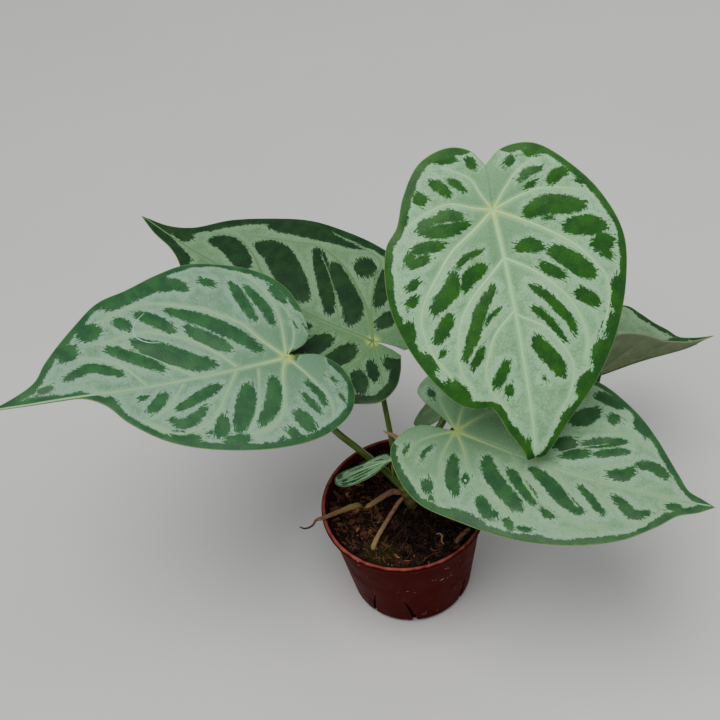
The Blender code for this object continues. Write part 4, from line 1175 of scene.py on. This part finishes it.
# The back blade: an older leaf behind the others, and so darker and stiffer. Its silver has dulled to narrow bands
# along the veins, and its stalk holds it level.
BACK_LEAF = HABIT | {
    "junction": (-4.8, 54.9, 137.6),
    "heading": 146, "rise": 7, "roll": -2,
    "length": 167, "half_width": 61,
    "arch": 4, "droop": 9, "droop_from": 0.7,
    "sway": 17,
    "bare": ((1, -15, 8),),
    "right": ((2.5, -17.5), (12, -25.5), (26.5, -27.5), (43, -18.5), (54, 0), (61, 25.5), (62.5, 51),
              (58, 76.5), (46, 99), (28.5, 119.5), (12, 133.5), (4, 147)),
    "left": ((-1.5, -17.5), (-12, -22.5), (-22.5, -25), (-34, -22), (-41, -11), (-45, 8), (-48, 33),
             (-46, 67), (-33.5, 97), (-15, 117), (-8, 131.5), (-5, 149)),
}
BACK_BLOTCHES = (
    ((-33, -11), (-28, -7), (-24, -3), 4.1), ((-24, -13), (-19, -10), (-14, -5.5), 3.1),
    ((-12.5, -17), (-8, -13), 3.1), ((-25, 13), (-17, 9), (-10, 7), 5.3), ((-24, 25), (-16, 23), (-9.5, 21), 4.8),
    ((-9, 115), (-6.5, 128), 2.4), ((-7, 122), (-5.5, 135), (-4, 146), 1.9),
    ((-33, 46), (-26, 36), (-18, 27), (-10, 19), 5.3), ((-35, 60), (-27, 50), (-18, 42), (-8, 33), 4.3),
    ((-24, 92), (-19, 76), (-12, 60), (-6, 48), 6.6), ((-13, 110), (-11, 97), (-6, 87), 4.8),
    ((10, 1), (15, -0.5), (20, -3), 4.3), ((21, 9), (30, 11), (38, 15), (45, 19), 4.8),
    ((4, 16), (12, 19), (20, 26), (28, 36), (36, 48), 5.8),
    ((4, 29), (12, 35), (20, 42), (28, 50), (36, 58), (40, 63), 4.3),
    ((6, 47), (12, 58), (19, 70), (25, 82), (24, 93), 7.8), ((6, 87), (11, 97), (14, 108), (11, 117), 6),
    ((5, 128), (2.5, 140), 3.6), ((39, 26), (45, 33), 6), ((57, 38), (54, 60), (47, 82), (39, 99), 6),
)
BACK_VEINS = (
    ((-0.5, 0), (-1, 40), (-1, 80), (-0.6, 120), (0, 165), 1.05),
    ((0, 0), (9, 5.5), (20, 12), (33, 18), (42, 20.5), (51, 24.5), (55.7, 40), (56.8, 64), 0.7),
    ((0, 0), (16, 12), (31, 31), (39, 46), (42.5, 63), (38, 74.5), (32, 91), (26, 102), 0.85),
    ((-1, 19), (8, 26.5), (17, 33.6), (25, 41.8), (33, 51.5), (38, 58), 0.4),
    ((-1, 62), (9.5, 79), (18, 94.5), (21, 108), (15.5, 121), 0.7),
    ((0, 0), (-9, 1), (-20, 3.5), (-26, 5.5), (-36, 16), (-40, 34), 0.6),
    ((0, 0), (-9, -6.5), (-19, -14.5), (-26.5, -19), (-34, -13.5), 0.6),
    ((-1, 12), (-10, 14.5), (-22, 18), (-31, 28), 0.5), ((-1, 26), (-9, 28), (-18, 31), (-30, 44), 0.5),
    ((-1, 48), (-12, 60), (-22, 76), (-25, 92), 0.65), ((-1, 76), (-8, 88), (-12, 104), 0.5),
)
back_face = leaf_face_material("back leaf face", 5.6, (0.195, 0.365, 0.185, 1), (0.125, 0.265, 0.115, 1),
                               (0.011, 0.054, 0.010, 1), (0.005, 0.033, 0.008, 1), (0.17, 0.31, 0.15, 1))
dress_blade("back", BACK_LEAF, BACK_BLOTCHES, BACK_VEINS, back_face, dark_veins)

# The right blade: a leathery leaf held level, low over the pot. It lies over the shaded one, and the front
# blade's tip hangs over it.
RIGHT_LEAF = HABIT | {
    "junction": (30.3, -3.4, 124.6),
    "heading": 324, "rise": -1, "roll": 5,
    "length": 133, "half_width": 52,
    "arch": -3, "droop": 7, "droop_from": 0.7,
    "sway": -6, "tip": -4.5,
    "bare": ((3, -18, 13), (13, -25, 9), (-11, -24, 13), (-24, -29, 13), (-35, -21, 9)),
    "right": ((4, -19), (12, -24.3), (24, -24.8), (35.5, -15.5), (45.5, 2), (47, 25), (45.5, 50),
              (39, 76), (27.5, 98), (15, 111), (6, 118), (1, 126)),
    "left": ((-9.5, -24), (-14, -30), (-24, -29.8), (-37.5, -20), (-49.5, 0), (-57.5, 27), (-58.5, 54),
             (-48.5, 76), (-32.5, 96), (-16, 112), (-9, 119), (-6.5, 127)),
}
RIGHT_BLOTCHES = (
    ((-16.5, -24), (-14, -20.5), 2.1), ((-39, 61), (-33, 57), (-28, 52), 4.9), ((-38, 69), (-36, 73), 3),
    ((-17, 62), (-21, 70), (-26, 83), 2.8), ((-16, 58), (-12, 50), 3.9), ((-13, 69), (-17, 76), (-21, 86), 2.3),
    ((-7, 55), (-11, 62), (-13, 67), 3), ((-6, 80), (-7.5, 87), (-12, 90), 3.5),
    ((-15, 90), (-15.5, 100), (-12, 108), 2.8), ((-40, -4), (-30, -2), (-18, 0), 3.9),
    ((-46, 14), (-34, 12), (-20, 8), 4.2), ((-46, 32), (-36, 28), (-22, 20), 4.4),
    ((-44, 48), (-34, 42), (-20, 32), 3.9), ((-50, 56), (-46, 74), 3.5), ((-40, 82), (-33, 92), 3.5),
    ((13, -5.5), (19, -8), (25, -7), 1.2), ((18, -18), (24, -17), 1.2),
    ((15, 6.5), (21, 8.5), (28, 12), (35, 18), 3.2), ((22, 17), (27, 18), 1.9),
    ((8, 21), (15, 26), (21, 34), (27, 44), (29, 49), 3.9), ((10, 34), (15, 41), (20, 49), (24, 53), 3.2),
    ((5, 43), (9, 53), (14, 61), (18, 68), (21, 77), 3.7), ((6, 69), (10, 75), (15, 82), (18, 86), 2.1),
    ((6, 86), (9, 92), (13, 99), (9, 106), 2.6), ((25, 58), (28, 64), 2.6), ((33, 0.5), (38, 4), 2.8),
    ((31, 28), (35, 32), (40, 37), 3.2), ((35, 37), (38, 40), 1.9), ((37, 44), (41, 49), 2.1),
    ((39, 51), (38, 58), 1.6), ((40, 6), (42, 8), 1.2), ((3, 112), (1, 118), 2.3), ((43, 16), (44, 38), 2.1),
)
RIGHT_VEINS = (
    ((0, 0), (0, 40), (-0.2, 80), (-1.5, 105), (-4.5, 131), 1.1),
    ((0, 0), (9, 0), (20, 1.5), (30, 7), (38, 11.5), 0.6),
    ((0, 0), (9, 9), (18, 15.5), (25, 22.5), (30, 33), (33, 46), (34, 60), (31, 76), 0.8),
    ((0, 31), (14.7, 45), (22.5, 56), (26, 67), (27, 78), (23.5, 89), 0.7),
    ((0, 52), (10, 62.5), (18, 72.5), 0.5), ((0, 75), (11, 85), (17, 94), (18, 105), 0.55),
    ((0, 0), (-8, -2), (-13, -3), (-26, -3), (-38, 2), 0.6),
    ((0, 0), (-14, 8.5), (-30, 22), (-42, 40), (-45, 56), 0.8),
    ((0, 33), (-23, 51), (-29, 67), (-30, 80), (-25.5, 95), 0.65), ((0, 44), (-14, 60), (-22, 74), 0.3),
    ((0, 67), (-9, 78), (-14, 90), 0.5), ((0, 0), (-7, -9), (-14, -17), (-26, -22), 0.5),
    ((0, 0), (6, -7), (14, -14), (26, -16), 0.5),
)
# Partly painted reflection: the blue in these colours is the sky's sheen on the level blade, laid over its own green
right_face = leaf_face_material("right leaf face", 3.4, (0.285, 0.490, 0.290, 1), (0.180, 0.360, 0.180, 1),
                                (0.030, 0.120, 0.028, 1), (0.016, 0.080, 0.026, 1), (0.27, 0.47, 0.25, 1))
dress_blade("right", RIGHT_LEAF, RIGHT_BLOTCHES, RIGHT_VEINS, right_face, right_veins)
lay_water("water_drop", "right_leaf", RIGHT_LEAF, ((24.5, 17.4), (25.0, 18.0), (25.5, 18.6)), 0.6)

# The shaded blade: the oldest and darkest, under the others. Its outer part is folded up along the midrib, so
# its back shows from the front.
SHADED_LEAF = HABIT | {
    "junction": (40.7, 41.8, 86),
    "heading": 8.3, "rise": 2.4, "roll": -5,
    "length": 149, "half_width": 45,
    "arch": 5, "droop": -8, "droop_from": 0.8,
    "fold": (8, 8), "fold_more": (69, 7), "cup": (10, 10), "sway": -6.6,
    "bare": ((-2, -23, 15), (-13, -17, 10)),
    "right": ((5, -5), (11, -12), (16, -18), (23, -21.5), (32, -17.5), (37, -6), (39.5, 12), (40, 30),
              (39.5, 50), (39, 69), (38, 85), (31, 97.5), (20.5, 108.5), (14.8, 114), (9.8, 122.5),
              (4.8, 133.5)),
    "left": ((-0.4, -13), (2, -18.8), (2.6, -25.5), (-1.5, -29.5), (-8, -25), (-11.8, -20.6), (-17, -15),
             (-28, -8), (-38, 5), (-43, 25), (-46, 50), (-46.5, 75), (-44, 98), (-38.7, 113.7),
             (-30.8, 118.2), (-21, 122.5), (-13.8, 127), (-7.6, 130.5), (-3.5, 138.5)),
}
SHADED_BLOTCHES = (
    ((-34, 20), (-22, 17), (-10, 12), 4.0), ((-36, 36), (-24, 32), (-11, 25), 4.4),
    ((-38, 54), (-26, 49), (-11, 40), 4.4), ((-38, 72), (-26, 66), (-11, 56), 4.6),
    ((-37, 90), (-25, 83), (-11, 72), 4.6), ((-20, 97), (-11, 90), 4.0), ((-40, 98), (-34, 104), 3.0),
    ((-14, 104), (-6, 100), 3.4), ((-26, 121), (-12, 127), 3.6), ((-6, 122), (-3, 134), 2.6),
    ((-38, 116), (-22, 120), 3.0), ((-43, 40), (-44, 70), 2.6), ((-43, 72), (-42, 100), 3.4),
    ((36, 20), (37, 80), 2.6), ((12, -7), (22, -8), 2.4), ((28, 6), (18, 4), (10, 4), 3.2),
    ((30, 22), (20, 18), (9, 13), 4.2), ((32, 38), (20, 33), (9, 26), 4.4), ((32, 55), (20, 50), (9, 42), 4.4),
    ((30, 72), (20, 67), (8, 58), 4.4), ((26, 88), (17, 83), (8, 74), 4.2), ((17, 102), (10, 96), 3.6),
    ((8, 116), (4, 108), 3.0),
)
SHADED_VEINS = (
    ((0, 0), (0, 40), (0, 80), (0, 115), (0, 138), 1.05),
    ((0, 0), (-12, 8), (-24, 12), (-34, 24), (-38, 40), 0.62),
    ((0, 24), (-13, 34), (-27, 42), (-38, 56), (-40, 72), 0.55), ((0, 50), (-13, 60), (-27, 70), (-38, 84), 0.5),
    ((0, 76), (-12, 88), (-26, 98), (-31, 107), 0.5), ((0, 100), (-9, 107), (-19, 111), 0.4),
    ((0, 0), (-6, -7), (-9, -14), (-6, -22), 0.4), ((0, 0), (-12, -4), (-22, -3), 0.45),
    ((0, 0), (-1, -10), (0, -20), 0.4), ((0, 0), (10, 8), (20, 12), (31, 26), (34, 42), 0.62),
    ((0, 24), (11, 33), (22, 41), (33, 58), (33, 74), 0.55), ((0, 50), (11, 59), (22, 68), (29, 82), 0.5),
    ((0, 76), (10, 86), (18, 95), 0.45), ((0, 100), (6, 107), (9, 116), 0.36),
    ((0, 0), (11, -3), (24, -6), (32, 2), 0.5), ((0, 0), (9, -8), (19, -15), 0.4),
)
shaded_face = leaf_face_material("shaded leaf face", 2.2, (0.240, 0.400, 0.220, 1), (0.145, 0.270, 0.130, 1),
                                 (0.018, 0.085, 0.012, 1), (0.009, 0.052, 0.010, 1), (0.24, 0.42, 0.19, 1))
dress_blade("shaded", SHADED_LEAF, SHADED_BLOTCHES, SHADED_VEINS, shaded_face, dark_veins)

# The newest leaf: small, narrow, soft and still without lobes, just unrolled from its sheath. It has fine streaks
# where the blotches will come.
YOUNG_LEAF = HABIT | {
    "junction": (-3.4, 7.9, 94.5),
    "heading": 191, "rise": 3, "roll": -6,
    "length": 33.5, "half_width": 6,
    "arch": 26, "lobe_arch": 0, "droop": 8, "droop_from": 0.6,
    "fold": (20, 20), "cup": (10, 10), "sway": 0,
    "right": ((2, 0.3), (3.8, 1.6), (4.4, 3.6), (4, 9), (3.1, 16), (3.2, 22.5), (3.4, 27.6), (2.6, 31.4)),
    "left": ((-0.9, 0.9), (-3, 5.2), (-5.5, 9.4), (-7.1, 13.1), (-7.8, 18.2), (-7.8, 22.7), (-6.9, 27),
             (-4.2, 30.8)),
}
YOUNG_BLOTCHES = (
    ((-2.2, 11), (-3.2, 17), (-3.6, 23), 0.55), ((-0.9, 13), (-1.4, 19), (-1.8, 25), 0.5),
    ((-4.8, 15), (-5.4, 21), 0.6), ((-5.8, 19), (-5.0, 26), 0.9), ((-2.6, 25), (-2.0, 29), 0.8),
    ((1.6, 4), (1.8, 10), 0.4), ((1.5, 15), (1.8, 24), 0.6), ((0.4, 28), (0.0, 31), 1.0),
    ((-3.4, 29), (-5.4, 26), 0.9), ((2.2, 27), (1.4, 31), 0.7),
)
YOUNG_VEINS = (
    ((0, 0), (0, 10), (0, 20), (0, 31), 0.34), ((0, 3), (-2.6, 9), (-4.2, 15), (-4.6, 22), (-3.4, 28), 0.16),
    ((0, 7), (-1.6, 13), (-2.6, 19), (-2.2, 26), 0.14), ((0, 4), (1.8, 10), (2.1, 18), (1.5, 26), 0.14),
)
young_face = leaf_face_material("young leaf face", 1.6, (0.270, 0.460, 0.280, 1), (0.165, 0.320, 0.180, 1),
                                (0.040, 0.120, 0.040, 1), (0.020, 0.075, 0.028, 1), (0.24, 0.42, 0.24, 1))
young_build = {"magnify": 2.6, "thin": 0.45, "rib": 0.4}
young = make_blade("newest_leaf", YOUNG_LEAF, YOUNG_BLOTCHES, YOUNG_VEINS, (young_face, leaf_back, leaf_edge),
                   spacing=0.3, puff=0.25, **young_build)
young_ridges = make_veins("newest_leaf_veins", YOUNG_LEAF, YOUNG_VEINS, silver_veins, **young_build)
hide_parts("young_leaf")
for piece in (young, young_ridges):
    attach(piece, "root")

# The leaf stalks: round, smooth and juicy, mid green with fine lengthwise streaks. Each swells a little where it
# leaves the stem and again at the joint under its blade, which is paler and lets the blade turn to the light.
stalk_skin, tree, shader = new_material("stalk skin", Roughness=0.36)
streaks = streaks_along(tree, 0.06, 2.2)
stalk_colour = tint_between(tree, streaks, 0.3, 0.7, (0.044, 0.090, 0.005, 1), (0.088, 0.165, 0.010, 1))
for label, strength, tint in (("joint", 0.75, (0.24, 0.33, 0.075, 1)), ("foot", 0.6, (0.14, 0.13, 0.035, 1))):
    share = maths(tree, "MULTIPLY", read_tone(tree, label), strength)
    stalk_colour = mix_colours(tree, share, stalk_colour, tint)
paint(tree, shader, stalk_colour, streaks, strength=0.15, depth=0.0003)

# A stalk rises straight for its last stretch, ends under the blade's rib and is seated in it, in mm, and swells to
# so many times its radius at its foot and its joint
LAST_STRETCH, UNDER_RIB, SEAT_DEPTH = 2.5, 0.45, 0.6
FOOT_SWELL, JOINT_SWELL, RIB_SWELL, SEAT_SWELL = 1.3, 1.25, 1.1, 0.8
JOINT_REACH = 7

# Each stalk's leaf, its radius, how deep the blade's rib is where they meet, and its route up to there
STALKS = {
    "petiole_front": (FRONT_LEAF, 2.0, 2.0, ((1.0, 5.6, 77), (8.5, 12.5, 82), (18, 24.5, 86), (27, 33.5, 90),
                                             (31.5, 45, 99), (35, 54, 115), (40.5, 57.5, 139), (49.5, 58, 176),
                                             (55.5, 52.5, 206))),
    "petiole_left": (LEFT_LEAF, 1.85, 2.0, ((1.9, 4.2, 72), (-3.8, 9.8, 75), (-8.6, 14, 80), (-14, 13.6, 89.5),
                                            (-22, 13.2, 103.5), (-30.5, 13, 118), (-42, 18, 139))),
    "petiole_back": (BACK_LEAF, 1.45, 2.0, ((-0.6, 7.4, 77.5), (-1.9, 12.2, 86), (-2.4, 16, 102.6), (-3.6, 29, 118),
                                            (-4.4, 42, 128))),
    "petiole_right": (RIGHT_LEAF, 1.8, 2.0, ((1.6, 4.4, 71), (7, -0.5, 79), (14, -4, 96), (23.5, -6.5, 114))),
    "petiole_shaded": (SHADED_LEAF, 1.7, 2.0, ((3.4, 2.2, 66.5), (9, 8, 71), (20, 20, 77), (32, 33, 80.5))),
    "young_petiole": (YOUNG_LEAF, 0.8, 0.9, ((-0.6, 4.0, 77.5), (-3.8, 4.6, 84), (-3.9, 6.6, 90))),
}
for node, (leaf, radius, rib_depth, route) in STALKS.items():
    up = leaf_axes(leaf)[2]
    below_rib = np.array(leaf["junction"]) - (rib_depth + UNDER_RIB) * up
    seat = np.array(leaf["junction"]) - SEAT_DEPTH * up
    jointed = node != "young_petiole"
    full_route = list(route) + [tuple(below_rib - LAST_STRETCH * up), tuple(below_rib), tuple(seat)]
    swells = [FOOT_SWELL] + [1.0] * (len(route) - 1) + [JOINT_SWELL if jointed else 1.0, RIB_SWELL, SEAT_SWELL]
    radii = [radius * swell for swell in swells]
    places, faces, skin = strand(full_route, radii, 24, 12, knobs=0.03)
    stalk = to_mesh_object(node + "_skin", places, faces, stalk_skin)
    add_places(stalk.data, "skin", skin)
    from_foot = np.array(skin)[:, 2]
    from_blade = from_foot[-1] - from_foot
    add_tones(stalk.data, "joint", np.clip(1 - (from_blade - 2) / JOINT_REACH, 0, 1) * jointed)
    add_tones(stalk.data, "foot", np.clip(1 - from_foot / JOINT_REACH, 0, 1))
    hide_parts(node)
    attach(stalk, "root")

# The sheath: the pointed leaf that wrapped the last bud, now dry. It stands beside the stem, tan to pinkish and
# papery, greener at its foot, with its tip curled over.
dry_sheath, tree, shader = new_material("dry sheath", Roughness=0.6)
streaks = streaks_along(tree, 0.08, 2.6, 0.65)
sheath_colour = tint_between(tree, streaks, 0.3, 0.7, (0.20, 0.140, 0.058, 1), (0.36, 0.27, 0.120, 1))
from_foot = place_node(tree, "ShaderNodeSeparateXYZ", {0: read_places(tree, "skin")}).outputs[2]
greener = step_between(tree, from_foot, 6.0, 22.0, 0.55, 0.0)
sheath_colour = mix_colours(tree, greener, sheath_colour, (0.20, 0.22, 0.06, 1))
paint(tree, shader, sheath_colour, streaks, strength=0.4, depth=0.0004)
SHEATH_ROUTE = ((1.2, 6.0, 79.5), (3.0, 7.6, 88), (2.4, 10.0, 99), (0.2, 12.2, 107), (-6.0, 13.7, 112))
SHEATH_RADII = (1.2, 1.4, 1.9, 1.6, 0.35)
places, faces, skin = strand(SHEATH_ROUTE, SHEATH_RADII, 28, 14, flatten=0.85, ribs=0.04)
sheath = to_mesh_object("bud_sheath", places, faces, dry_sheath)
add_places(sheath.data, "skin", skin)
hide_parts("leaf_sheath")
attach(sheath, "root")
